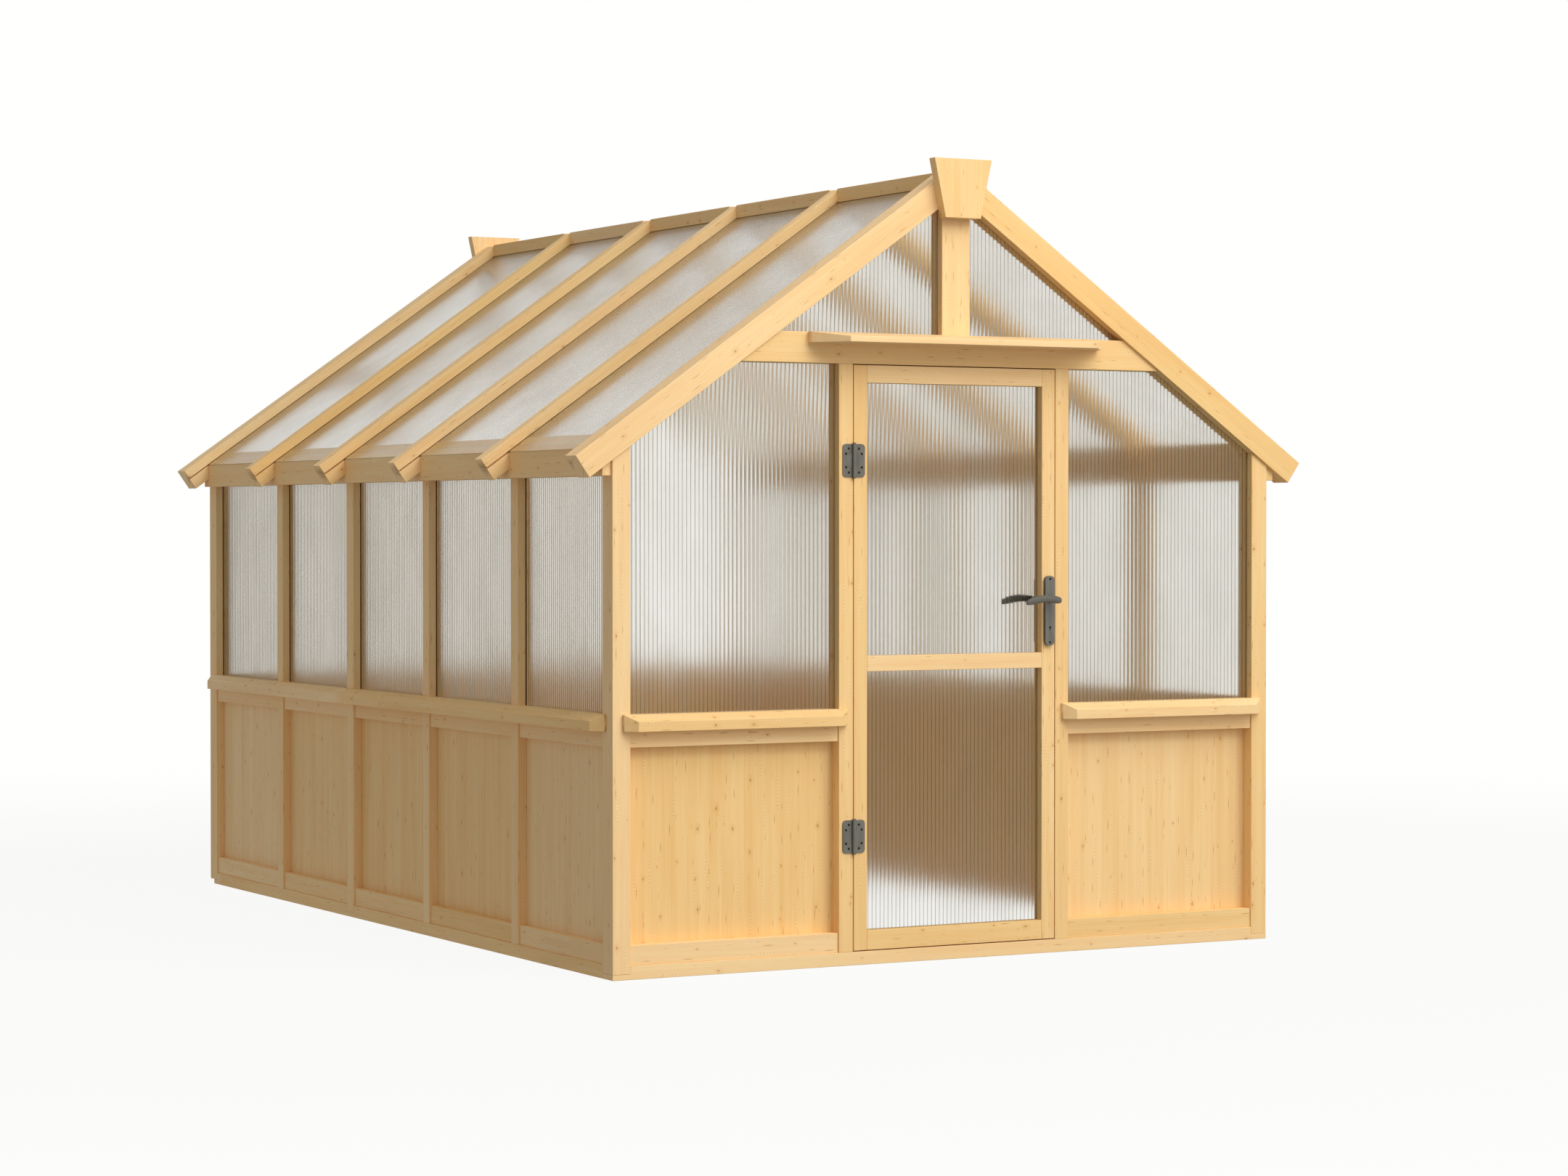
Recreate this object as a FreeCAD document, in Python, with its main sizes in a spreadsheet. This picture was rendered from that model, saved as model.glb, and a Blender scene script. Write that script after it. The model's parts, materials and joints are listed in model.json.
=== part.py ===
"""A wooden gable greenhouse: pine frame, boarded lower walls, twin-wall glazing and a hinged door.

X runs across the door wall, Y from the door wall to the rear and Z up. The origin lies on the
ground in the middle of the greenhouse's bounding box. Lengths are millimetres, angles degrees.
"""
import FreeCAD, Part
import os
import re

import Sketcher

Vector = FreeCAD.Vector
doc = FreeCAD.newDocument("Greenhouse")

SIZES = {
    # Whole house: width over the corner posts, clear length of each side bay from front to rear, and
    # the rise from the cross beams to the line where the rafters' top faces meet
    "house_width": 2400,
    "first_bay_length": 608,
    "second_bay_length": 657,
    "third_bay_length": 611,
    "fourth_bay_length": 618,
    "fifth_bay_length": 648,
    "gable_rise": 540,
    "roof_pitch": 35,
    # Ground frame
    "base_height": 42,
    "base_width": 70,
    "base_rear_inset": 39,
    "post_foot_height": 17,
    # Posts, studs and plates
    "corner_post_width": 60,
    "end_wall_depth": 70,
    "side_wall_depth": 48,
    "stud_width": 52,
    "joint_stud_width": 62,
    "plate_depth": 36,
    # Rails, lower panels and glazing panes
    "bottom_rail_height": 61,
    "middle_rail_place": 697,
    "middle_rail_height": 100,
    "rail_setback": 5,
    "panel_thickness": 15,
    "side_panel_recess": 30,
    "end_panel_recess": 45,
    "sheet_thickness": 4,
    "wall_sheet_recess": 26,
    "groove_depth": 10,
    "groove_clearance": 0.3,
    "expansion_gap": 2,
    # Sill boards
    "sill_height": 51,
    "sill_front_height": 31,
    "sill_straight": 11,
    "sill_projection": 40,
    "sill_mitre": 35,
    "sill_overlap": 27,
    "sill_joint_gap": 8,
    # Door wall frame
    "door_opening_width": 744,
    "door_post_width": 50,
    "cross_beam_place": 1864.5,
    "cross_beam_height": 95.5,
    "king_post_width": 102,
    "canopy_width": 1063,
    "canopy_height": 34,
    "canopy_front_height": 18,
    "canopy_straight": 21,
    "canopy_projection": 123,
    "canopy_mitre": 82,
    # Roof
    "rafter_depth": 80,
    "tail_overhang": 126,
    "gable_rafter_proud": 10,
    "sheet_cover": 33,
    "ridge_beam_width": 90,
    "ridge_beam_rise": 6,
    "rafter_peak_drop": 3,
    "peak_joint_gap": 0.2,
    "eave_board_thickness": 30,
    "eave_board_height": 80.5,
    "eave_board_front_setback": 8,
    "eave_board_rear_setback": 26,
    "finial_top_width": 209.5,
    "finial_low_width": 129,
    "finial_height": 185.5,
    "finial_thickness": 35,
    "finial_rise": 11.6,
    # Door leaf and its stops
    "door_gap": 3,
    "door_thickness": 44,
    "door_stile_width": 48,
    "door_top_rail_height": 55,
    "door_middle_rail_place": 911,
    "door_middle_rail_height": 49,
    "door_bottom_rail_height": 61,
    "stop_width": 15,
    "stop_depth": 20,
    "stop_gap": 1,
    # Hinges
    "hinge_height": 103,
    "hinge_leaf_reach": 39.5,
    "hinge_leaf_thickness": 3,
    "hinge_corner_radius": 12,
    "hinge_barrel_radius": 6,
    "hinge_pin_radius": 3,
    "hinge_pin_head_radius": 5,
    "hinge_pin_head_height": 4,
    "hinge_running_clearance": 0.05,
    "hinge_gap": 0.3,
    "upper_hinge_drop": 296.5,
    "lower_hinge_rise": 355,
    "hinge_screw_reach": 18,
    "hinge_screw_edge_inset": 11.5,
    "hinge_screw_end_inset": 14.5,
    "hinge_screw_rise": 21,
    "screw_head_radius": 4,
    "screw_head_height": 2.4,
    "screw_shank_radius": 2,
    "screw_length": 25,
    "screw_socket_radius": 1.3,
    "screw_socket_depth": 1.6,
    # Handle and lock
    "handle_place": 1128,
    "plate_width": 35.5,
    "plate_above": 76,
    "plate_below": 146,
    "plate_thickness": 12,
    "plate_corner_radius": 16,
    "plate_bolt_inset": 10,
    "keyhole_drop": 88,
    "keyhole_radius": 3.5,
    "keyhole_slot_width": 3,
    "keyhole_slot_height": 9,
    "spindle_side": 8,
    "spindle_grip": 14,
    "turning_clearance": 0.5,
    "lever_stand_off": 42,
    "lever_neck_radius": 9,
    "lever_length": 116,
    "lever_tail": 16,
    "lever_height": 24,
    "lever_thickness": 17,
    "lever_rise": 4.3,
    "lever_droop": 9,
    "follower_radius": 9,
    "follower_thickness": 10,
    "lock_case_thickness": 14,
    "lock_case_wall": 3.4,
    "lock_case_margin": 8,
    "forend_thickness": 3,
    "forend_width": 22,
    "forend_overhang": 10,
    "latch_rise": 38,
    "latch_height": 18,
    "latch_thickness": 10,
    "latch_throw": 12,
    "latch_tip_thickness": 3,
    "dead_bolt_rise": 32,
    "dead_bolt_height": 24,
    "dead_bolt_recess": 1,
    "bolt_clearance": 0.3,
    "strike_thickness": 2,
    "strike_width": 24,
    "strike_pocket_depth": 14,
}

sheet = doc.addObject("Spreadsheet::Sheet", "Sizes")
for row, (name, value) in enumerate(SIZES.items(), start=1):
    sheet.set(f"A{row}", name)
    sheet.set(f"B{row}", str(value))
    sheet.setAlias(f"B{row}", name)
doc.recompute()

# Planes and places that several pieces share, as formulas in the sheet's names
BAYS = tuple(f"{order}_bay_length" for order in ("first", "second", "third", "fourth", "fifth"))
STUDS = ("stud_width", "stud_width", "joint_stud_width", "stud_width")
JOINT = STUDS.index("joint_stud_width")
HOUSE_LENGTH = f"(2 * end_wall_depth + {' + '.join(BAYS + STUDS)})"
FRONT = f"(-({HOUSE_LENGTH} + gable_rafter_proud + finial_thickness - canopy_projection) / 2)"
REAR = f"({FRONT} + {HOUSE_LENGTH})"
MIDDLE = f"({FRONT} + {HOUSE_LENGTH} / 2)"
WALL = "(house_width / 2)"
FRONT_INNER = f"({FRONT} + end_wall_depth)"
REAR_INNER = f"({REAR} - end_wall_depth)"
POST_INNER = f"({WALL} - corner_post_width)"
RAIL_TOP = "(base_height + bottom_rail_height)"
SILL_TOP = "(middle_rail_place + middle_rail_height)"
BEAM_TOP = "(cross_beam_place + cross_beam_height)"
RIDGE_LINE = f"({BEAM_TOP} + gable_rise)"
OPENING = "(door_opening_width / 2)"
DOOR_POST = f"({OPENING} + door_post_width)"
KING = "(king_post_width / 2)"
TAIL = f"({WALL} + tail_overhang)"
EAVE = f"({WALL} + eave_board_thickness)"
RIDGE = "(ridge_beam_width / 2)"
SHEET_DEPTH = "(sheet_cover + sheet_thickness)"
SLOPE_COS = "cos(roof_pitch)"
DOOR_EDGE = f"({OPENING} - door_gap)"
STILE_INNER = f"({DOOR_EDGE} - door_stile_width)"
DOOR_LOW = "(base_height + door_gap)"
DOOR_TOP = "(cross_beam_place - door_gap)"
DOOR_BACK = f"({FRONT} + door_thickness)"
DOOR_CORE = f"({FRONT} + door_thickness / 2)"
HINGE_X = f"(-({OPENING} - door_gap / 2))"
HINGE_Y = f"({FRONT} - hinge_barrel_radius - hinge_gap)"
SPINDLE_X = f"({DOOR_EDGE} - door_stile_width / 2)"
SPINDLE_HOLE = "(spindle_side * sqrt(2) / 2 + turning_clearance)"
PLATE_LOW = "(handle_place - plate_below)"
PLATE_HIGH = "(handle_place + plate_above)"
KEYHOLE_Z = "(handle_place - keyhole_drop)"
FOREND_BACK = f"({DOOR_EDGE} - forend_thickness)"

KNUCKLES = 5
FRAME_KNUCKLES = (0, 2, 4)
DOOR_KNUCKLES = (1, 3)
AWAY_FROM_DOOR = FreeCAD.Rotation(Vector(0, 0, 1), 180)
LEFTWARD = FreeCAD.Rotation(Vector(0, 0, 1), 90)
RIGHTWARD = FreeCAD.Rotation(Vector(0, 0, 1), -90)
INTO_DOOR = FreeCAD.Rotation(Vector(1, 0, 0), -90)
UPRIGHT = FreeCAD.Rotation(Vector(1, 0, 0), 90)
ACROSS = FreeCAD.Rotation(Vector(1, 0, 1), 180)
UNTURNED = FreeCAD.Rotation()

nodes = {}


def formula(text):
    """The expression with each size's name tied to its cell of the sheet."""
    return re.sub(r"[a-z][a-z_]+", lambda word: f"Sizes.{word[0]}" if word[0] in SIZES else word[0], text)


def bind(piece, formulas):
    """Ties properties of a piece to formulas."""
    for key, text in formulas.items():
        piece.setExpression(key, formula(text))
    return piece


def place(piece, x, y, z, turn=UNTURNED):
    """Ties a piece's place to formulas, with a fixed turn."""
    piece.Placement = FreeCAD.Placement(Vector(), turn)
    return bind(piece, {"Placement.Base.x": x, "Placement.Base.y": y, "Placement.Base.z": z})


def block(name, x, y, z):
    """A rectangular piece between two planes on each axis."""
    piece = doc.addObject("Part::Box", name)
    for side, (low, high) in zip(("Length", "Width", "Height"), (x, y, z)):
        bind(piece, {side: f"({high}) - ({low})"})
    return place(piece, x[0], y[0], z[0])


def rod(name, radius, length, x, y, z, turn=UNTURNED):
    """A round bar from a point, along the turned Z axis."""
    piece = doc.addObject("Part::Cylinder", name)
    bind(piece, {"Radius": radius, "Height": length})
    return place(piece, x, y, z, turn)


def wedge(name, formulas, x="0", y="0", z="0", turn=UNTURNED):
    """A block whose far face may be smaller than its near face."""
    piece = doc.addObject("Part::Wedge", name)
    bind(piece, formulas)
    return place(piece, x, y, z, turn)


def cut(name, base, *tools):
    """The base with each tool taken out of it in turn."""
    for tool in tools:
        piece = doc.addObject("Part::Cut", name)
        piece.Base = base
        piece.Tool = tool
        base = piece
    return base


def fuse(name, *pieces):
    """Several overlapping or touching pieces as one solid."""
    piece = doc.addObject("Part::MultiFuse", name)
    piece.Shapes = list(pieces)
    piece.Refine = True
    return piece


def group(name, pieces):
    """Separate solids handled as one object."""
    piece = doc.addObject("Part::Compound", name)
    piece.Links = list(pieces)
    return piece


def mirrored(name, source, axis, plane="0"):
    """A piece repeated on the other side of a plane square to an axis."""
    piece = doc.addObject("Part::Mirroring", name)
    piece.Source = source
    piece.Normal = Vector(*(float(axis == each) for each in "xyz"))
    return bind(piece, {f"Base.{axis}": plane})


def node(label, piece):
    """Keeps a finished sub-part under its own name."""
    piece.Label = label
    nodes[label] = piece
    return piece


def node_pair(label, axis, piece, sides, plane="0"):
    """A finished sub-part and its mirror image, each under its own name."""
    node(label.format(sides[0]), piece)
    return node(label.format(sides[1]), mirrored("mirror", piece, axis, plane))


def roof_plane(run, depth):
    """The height of the left slope at a run from the ridge line, a depth below the rafters' tops."""
    return f"({RIDGE_LINE} - tan(roof_pitch) * ({run}) - ({depth}) / {SLOPE_COS})"


def slope_block(name, start, depth, thickness, length, y):
    """A box on the left slope: its low corner is `start` out from the ridge line, its lower face
    `depth` below the rafters' tops, and it rises `length` along the slope."""
    piece = doc.addObject("Part::Box", name)
    bind(piece, {"Length": length, "Width": f"({y[1]}) - ({y[0]})", "Height": thickness})
    place(piece, f"-({start})", y[0], roof_plane(start, depth), FreeCAD.Rotation(Vector(0, -1, 0), 1))
    return bind(piece, {"Placement.Rotation.Angle": "roof_pitch"})


def above_roof(name, depth):
    """Everything above a plane on the left slope, a depth below the rafters' tops."""
    y = (f"{FRONT} - house_width", f"{REAR} + house_width")
    return slope_block(name, "house_width", depth, "house_width", "2 * house_width", y)


def above_both_roofs(name, depth):
    """Everything above the same plane on both slopes."""
    left = above_roof(name, depth)
    return fuse(name, left, mirrored(name, left, "x"))


def pane_and_groove(name, x, y, z, thin):
    """A sheet let into the timbers round it, and the groove that it stands in.

    Each pair is the clear opening; the sheet goes deeper by the groove, stands on the groove's floor and
    has room to expand at its other edges. `thin` is the axis of its thickness."""
    spans = {"x": x, "y": y, "z": z}
    sheet_spans = []
    groove_spans = []
    for axis, (low, high) in spans.items():
        if axis == thin:
            sheet_spans.append((low, high))
            groove_spans.append((f"{low} - groove_clearance", f"{high} + groove_clearance"))
            continue
        slack = "0" if axis == "z" else "expansion_gap"
        sheet_spans.append((f"{low} - groove_depth", f"{high} + groove_depth"))
        groove_spans.append((f"{low} - groove_depth - {slack}", f"{high} + groove_depth + expansion_gap"))
    return block(name, *sheet_spans), block(f"{name}_groove", *groove_spans)


def nosing(name, length, heights, straight, projection, mitre, back):
    """A board with a sloped top and mitred ends, along X, lying against y = 0 and facing +Y.

    `back` is how far it reaches behind that plane, between the posts that it is notched for."""
    half = f"({length}) / 2"
    flat = block(name, (f"-{half}", half), (f"-({back})", straight), ("0", heights[0]))
    lip = wedge(name, {"Xmin": f"-{half}", "Xmax": half,
                       "X2min": f"-{half} + {mitre}", "X2max": f"{half} - {mitre}",
                       "Ymin": straight, "Ymax": projection,
                       "Zmin": "0", "Zmax": heights[0], "Z2min": "0", "Z2max": heights[1]})
    return fuse(name, flat, lip)


def sill(low, high, x, y, turn):
    """A sill board from one end to the other, lapping onto the posts at its ends."""
    piece = nosing("sill", f"({high}) - ({low})", ("sill_height", "sill_front_height"),
                   "sill_straight", "sill_projection", "sill_mitre", "rail_setback")
    return place(piece, x, y, f"{SILL_TOP} - sill_height", turn)


# Bays and studs of a side wall, front to rear
bays = []
stud_spans = []
reached = FRONT_INNER
for bay_length, width in zip(BAYS, STUDS + ("end_wall_depth",)):
    bays.append((reached, f"({reached} + {bay_length})"))
    stud_spans.append((bays[-1][1], f"({bays[-1][1]} + {width})"))
    reached = stud_spans[-1][1]
stud_spans.pop()
EAVE_LOW = f"({roof_plane(EAVE, SHEET_DEPTH)} - eave_board_height)"

# Shared cutters: above the rafters' undersides, above the roof sheets' undersides, and where end panes stop
under_rafters = above_both_roofs("under_rafters", "rafter_depth")
under_left_rafters = above_roof("under_left_rafters", "rafter_depth")
under_sheets = above_roof("under_sheets", SHEET_DEPTH)
pane_limit = above_both_roofs("pane_limit", "rafter_depth - groove_depth")
groove_limit = above_both_roofs("groove_limit", "rafter_depth - groove_depth - expansion_gap")

# Left wall: panes and panels with the grooves that hold them
lower_z = (RAIL_TOP, "middle_rail_place")
left_panes = []
left_panels = []
left_grooves = []
pane_x = (f"-{WALL} + wall_sheet_recess", f"-{WALL} + wall_sheet_recess + sheet_thickness")
panel_x = (f"-{WALL} + side_panel_recess", f"-{WALL} + side_panel_recess + panel_thickness")
for bay in bays:
    pane, pane_groove = pane_and_groove("side_pane", pane_x, bay, (SILL_TOP, EAVE_LOW), "x")
    panel, panel_groove = pane_and_groove("side_panel", panel_x, bay, lower_z, "x")
    left_panes.append(pane)
    left_panels.append(panel)
    left_grooves += [pane_groove, panel_groove]
left_groove_set = group("left_grooves", left_grooves)

# Front wall: the bay left of the door, and the gable pane beside the king post
end_pane_y = (f"{FRONT} + wall_sheet_recess", f"{FRONT} + wall_sheet_recess + sheet_thickness")
end_panel_y = (f"{FRONT} + end_panel_recess", f"{FRONT} + end_panel_recess + panel_thickness")
end_bay = (f"-{POST_INNER}", f"-{DOOR_POST}")
gable_bay = (f"-{POST_INNER}", f"-{KING}")
upper_z = (SILL_TOP, "cross_beam_place")
gable_z = (BEAM_TOP, RIDGE_LINE)
wall_pane, wall_groove = pane_and_groove("end_pane", end_bay, end_pane_y, upper_z, "y")
gable_pane, gable_groove = pane_and_groove("gable_pane", gable_bay, end_pane_y, gable_z, "y")
end_panel, end_panel_groove = pane_and_groove("end_panel", end_bay, end_panel_y, lower_z, "y")
end_panes = group("end_panes", [cut("end_pane", wall_pane, pane_limit),
                                cut("gable_pane", gable_pane, pane_limit)])
end_grooves = group("end_grooves", [cut("end_groove", wall_groove, groove_limit),
                                    cut("gable_groove", gable_groove, groove_limit), end_panel_groove])
end_groove_set = group("front_grooves", [end_grooves, mirrored("end_grooves_right", end_grooves, "x")])
rear_groove_set = mirrored("rear_grooves", end_groove_set, "y", MIDDLE)

# Rear wall: the middle bay, where the front wall has its door
middle_bay = (f"-{OPENING}", OPENING)
rear_pane_y = (f"{REAR} - wall_sheet_recess - sheet_thickness", f"{REAR} - wall_sheet_recess")
rear_panel_y = (f"{REAR} - end_panel_recess - panel_thickness", f"{REAR} - end_panel_recess")
rear_pane, rear_groove = pane_and_groove("rear_pane", middle_bay, rear_pane_y, upper_z, "y")
rear_panel, rear_panel_groove = pane_and_groove("rear_panel", middle_bay, rear_panel_y, lower_z, "y")
rear_middle_grooves = group("rear_middle_grooves", [rear_groove, rear_panel_groove])

# Corner posts, lapped over the ground frame and cut to the rafters' slope
corner_post = cut("corner_post", block("corner_post", (f"-{WALL}", f"-{POST_INNER}"), (FRONT, FRONT_INNER),
                                       ("post_foot_height", RIDGE_LINE)), under_left_rafters)
grooved_post = cut("corner_post", corner_post, left_groove_set, end_groove_set)
front_posts = group("front_posts", [grooved_post, mirrored("front_right_post", grooved_post, "x")])
post_blanks = group("post_blanks", [corner_post, mirrored("right_blank", corner_post, "x")])
rear_post = mirrored("rear_post", corner_post, "y", MIDDLE)
rear_post = cut("rear_post", rear_post, left_groove_set, rear_groove_set)
node("front_corner_posts", front_posts)
node("rear_corner_posts", group("rear_posts", [rear_post, mirrored("rear_right_post", rear_post, "x")]))

# Left wall studs: the joint stud laps over the ground frame like the posts
left_stud_blanks = []
for index, span in enumerate(stud_spans):
    foot = "post_foot_height" if index == JOINT else "base_height"
    blank = block("stud", (f"-{WALL}", f"-{WALL} + side_wall_depth"), span, (foot, RIDGE_LINE))
    left_stud_blanks.append(cut("stud", blank, under_left_rafters))
left_stud_set = group("left_studs", left_stud_blanks)
node_pair("{}_wall_studs", "x", cut("left_wall_studs", left_stud_set, left_groove_set), ("left", "right"))

# Ground frame: end beams across the full width, side beams between them, notched for the posts
base_rear = f"({REAR} - base_rear_inset)"
base_z = ("0", "base_height")
front_base = block("front_base", (f"-{WALL}", WALL), (FRONT, f"{FRONT} + base_width"), base_z)
rear_base = block("rear_base", (f"-{WALL}", WALL), (f"{base_rear} - base_width", base_rear), base_z)
left_base = block("left_base", (f"-{WALL}", f"-{WALL} + base_width"),
                  (f"{FRONT} + base_width", f"{base_rear} - base_width"), base_z)
rear_blanks = mirrored("rear_blanks", post_blanks, "y", MIDDLE)
node("base_end_beams", group("base_end_beams", [cut("front_base", front_base, post_blanks),
                                                cut("rear_base", rear_base, rear_blanks)]))
left_side_base = cut("left_base", left_base, left_stud_blanks[JOINT], rear_blanks, post_blanks)
right_side_base = mirrored("right_base", left_side_base, "x")
node("base_side_beams", group("base_side_beams", [left_side_base, right_side_base]))

# Left wall rails and top plates, one length to each bay
rail_x = (f"-{WALL} + rail_setback", f"-{WALL} + side_wall_depth")
rail_heights = (("base_height", RAIL_TOP), ("middle_rail_place", SILL_TOP))
rails = group("left_rails", [block("side_rail", rail_x, bay, z) for bay in bays for z in rail_heights])
node_pair("{}_wall_rails", "x", cut("left_wall_rails", rails, left_groove_set), ("left", "right"))
plate_z = (EAVE_LOW, RIDGE_LINE)
plate_x = (f"-{WALL}", f"-{WALL} + plate_depth")
wall_plates = group("left_plates", [block("wall_plate", plate_x, bay, plate_z) for bay in bays])
wall_plates = cut("left_wall_plates", wall_plates, under_sheets, left_groove_set)
node_pair("{}_wall_plates", "x", wall_plates, ("left", "right"))
node_pair("{}_wall_panels", "x", group("left_wall_panels", left_panels), ("left", "right"))
node_pair("{}_wall_glazing", "x", group("left_wall_glazing", left_panes), ("left", "right"))

# Left wall sills, one to each wall module, notched over the studs
joint_middle = f"({stud_spans[JOINT][0]} + joint_stud_width / 2)"
side_sill_ends = ((f"({FRONT_INNER} - sill_overlap)", f"({joint_middle} - sill_joint_gap / 2)"),
                  (f"({joint_middle} + sill_joint_gap / 2)", f"({REAR_INNER} + sill_overlap)"))
side_sills = group("left_sills", [sill(low, high, f"-{WALL}", f"({low} + {high}) / 2", LEFTWARD)
                                  for low, high in side_sill_ends])
side_sills = cut("left_wall_sills", side_sills, left_stud_set, post_blanks, rear_blanks)
node_pair("{}_wall_sills", "x", side_sills, ("left", "right"))

# Door wall: posts, beam, king post, rails, panels, sills and glazing
post_y = (FRONT, FRONT_INNER)
beam_z = ("cross_beam_place", BEAM_TOP)
door_post_blank = block("door_post", (f"-{DOOR_POST}", f"-{OPENING}"), post_y,
                        ("base_height", "cross_beam_place"))
left_door_post = cut("door_post", door_post_blank, end_groove_set)
cross_beam = block("cross_beam", (f"-{POST_INNER}", POST_INNER), post_y, beam_z)
cross_beam = cut("cross_beam", cross_beam, under_rafters, end_groove_set)
king_blank = block("king_post", (f"-{KING}", KING), post_y, (BEAM_TOP, RIDGE_LINE))
king_post = cut("king_post", king_blank, under_rafters, end_groove_set)
end_rails = group("end_rails", [block("end_rail", end_bay, (f"{FRONT} + rail_setback", FRONT_INNER), z)
                                for z in rail_heights])
left_end_rails = cut("end_rails", end_rails, end_groove_set)
end_sill_blank = sill(f"({end_bay[0]} - sill_overlap)", f"({end_bay[1]} + sill_overlap)",
                      f"({end_bay[0]} + {end_bay[1]}) / 2", FRONT, AWAY_FROM_DOOR)
left_end_sill = cut("end_sill", end_sill_blank, post_blanks, door_post_blank)


def both_sides(name, piece):
    """A piece of the door wall's left half with its mirror image on the right."""
    return group(name, [piece, mirrored(name, piece, "x")])


front_rails = node("front_wall_rails", both_sides("front_wall_rails", left_end_rails))
front_panels = node("front_wall_panels", both_sides("front_wall_panels", end_panel))
node("front_wall_sills", both_sides("front_wall_sills", left_end_sill))
front_glazing = node("front_wall_glazing", both_sides("front_wall_glazing", end_panes))
node("front_cross_beam", cross_beam)
node("front_king_post", king_post)
canopy = nosing("door_canopy", "canopy_width", ("canopy_height", "canopy_front_height"), "canopy_straight",
                "canopy_projection", "canopy_mitre", "0")
node("door_canopy", place(canopy, "0", FRONT, f"{BEAM_TOP} - canopy_height", AWAY_FROM_DOOR))

# Rear wall: the same frame, with boards and a pane in place of the door
rear_studs = mirrored("rear_studs", both_sides("rear_studs", left_door_post), "y", MIDDLE)
node("rear_wall_studs", cut("rear_wall_studs", rear_studs, rear_middle_grooves))
rear_cross_beam = mirrored("rear_cross_beam", cross_beam, "y", MIDDLE)
node("rear_cross_beam", cut("rear_cross_beam", rear_cross_beam, rear_groove))
node("rear_king_post", mirrored("rear_king_post", king_post, "y", MIDDLE))
rear_rail_y = (REAR_INNER, f"{REAR} - rail_setback")
rear_rails = group("rear_rails", [block("rear_rail", middle_bay, rear_rail_y, z) for z in rail_heights])
rear_rails = cut("rear_rails", rear_rails, rear_middle_grooves)
for label, front_piece, middle_piece in (("rear_wall_rails", front_rails, rear_rails),
                                         ("rear_wall_panels", front_panels, rear_panel),
                                         ("rear_wall_glazing", front_glazing, rear_pane)):
    node(label, group(label, [mirrored(label, front_piece, "y", MIDDLE), middle_piece]))
rear_sill = sill(f"(-{POST_INNER} - sill_overlap)", f"({POST_INNER} + sill_overlap)", "0", REAR, UNTURNED)
node("rear_wall_sill", cut("rear_wall_sill", rear_sill, rear_blanks, rear_studs))

# Roof: grooved rafters that meet at the peak, sheets slid into them, ridge beam between them, eave boards
# and finials
TAIL_LOW = f"({TAIL} - rafter_depth * sin(roof_pitch))"
rafter_length = f"{TAIL} / {SLOPE_COS}"
RIDGE_TOP = f"({roof_plane(RIDGE, '0')} + ridge_beam_rise)"
ridge_z = (roof_plane(RIDGE, "rafter_depth"), RIDGE_TOP)
beyond_ends = (f"{FRONT} - house_width", f"{REAR} + house_width")
sky = f"2 * {RIDGE_LINE}"
beyond_peak = block("beyond_peak", ("-peak_joint_gap / 2", WALL), beyond_ends, (EAVE_LOW, sky))
above_peak = block("above_peak", (f"-{WALL}", WALL), beyond_ends, (f"{RIDGE_TOP} - rafter_peak_drop", sky))
peak_trim = fuse("peak_trim", beyond_peak, above_peak)
roof_sheets = []
roof_grooves = []
groove_start = f"({WALL} + 2 * tail_overhang)"
groove_end = f"({RIDGE} - groove_depth)"
sheet_length = f"({EAVE} - {groove_end}) / {SLOPE_COS}"
groove_length = f"({groove_start} - {groove_end} + expansion_gap) / {SLOPE_COS}"
for low, high in bays:
    sheet_y = (f"{low} - groove_depth", f"{high} + groove_depth")
    groove_y = (f"{low} - groove_depth - expansion_gap", f"{high} + groove_depth + expansion_gap")
    roof_sheets.append(slope_block("roof_sheet", EAVE, SHEET_DEPTH, "sheet_thickness",
                                   sheet_length, sheet_y))
    roof_grooves.append(slope_block("roof_groove", groove_start, f"{SHEET_DEPTH} + groove_clearance",
                                    "sheet_thickness + 2 * groove_clearance", groove_length, groove_y))
left_roof_grooves = group("left_roof_grooves", roof_grooves)


def rafter(name, span):
    """A square-ended rafter of the left slope, before it is cut at the ridge and grooved."""
    return slope_block(name, TAIL_LOW, "rafter_depth", "rafter_depth", rafter_length, span)


rafter_blanks = [rafter("rafter", span) for span in stud_spans]
gable_blank = rafter("gable_rafter", (f"{FRONT} - gable_rafter_proud", FRONT_INNER))
left_rafters = cut("left_rafters", group("left_rafters", rafter_blanks), peak_trim, left_roof_grooves)
left_gable_rafter = cut("gable_rafter", gable_blank, peak_trim, left_roof_grooves, end_groove_set)
front_gable = node("front_gable_rafters", both_sides("front_gable_rafters", left_gable_rafter))
rear_gable_blank = cut("rear_gable", mirrored("rear_gable", gable_blank, "y", MIDDLE), peak_trim)
left_rear_gable = cut("rear_gable", rear_gable_blank, left_roof_grooves, rear_groove_set)
node("rear_gable_rafters", both_sides("rear_gable_rafters", left_rear_gable))
node_pair("{}_rafters", "x", left_rafters, ("left", "right"))
node_pair("{}_roof_glazing", "x", group("left_roof_glazing", roof_sheets), ("left", "right"))
right_roof_grooves = mirrored("right_roof_grooves", left_roof_grooves, "x")
ridge_lengths = group("ridge_beam", [block("ridge", (f"-{RIDGE}", RIDGE), bay, ridge_z) for bay in bays])
node("ridge_beam", cut("ridge_beam", ridge_lengths, left_roof_grooves, right_roof_grooves))
eave_span = (f"{FRONT} + eave_board_front_setback", f"{REAR} - eave_board_rear_setback")
eave_blank = block("eave_board", (f"-{EAVE}", f"-{WALL}"), eave_span, (EAVE_LOW, RIDGE_LINE))
all_rafter_blanks = group("rafter_blanks", [*rafter_blanks, gable_blank, rear_gable_blank])
left_eave = cut("eave_board", eave_blank, under_sheets, all_rafter_blanks)
node("eave_boards", both_sides("eave_boards", left_eave))
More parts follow.
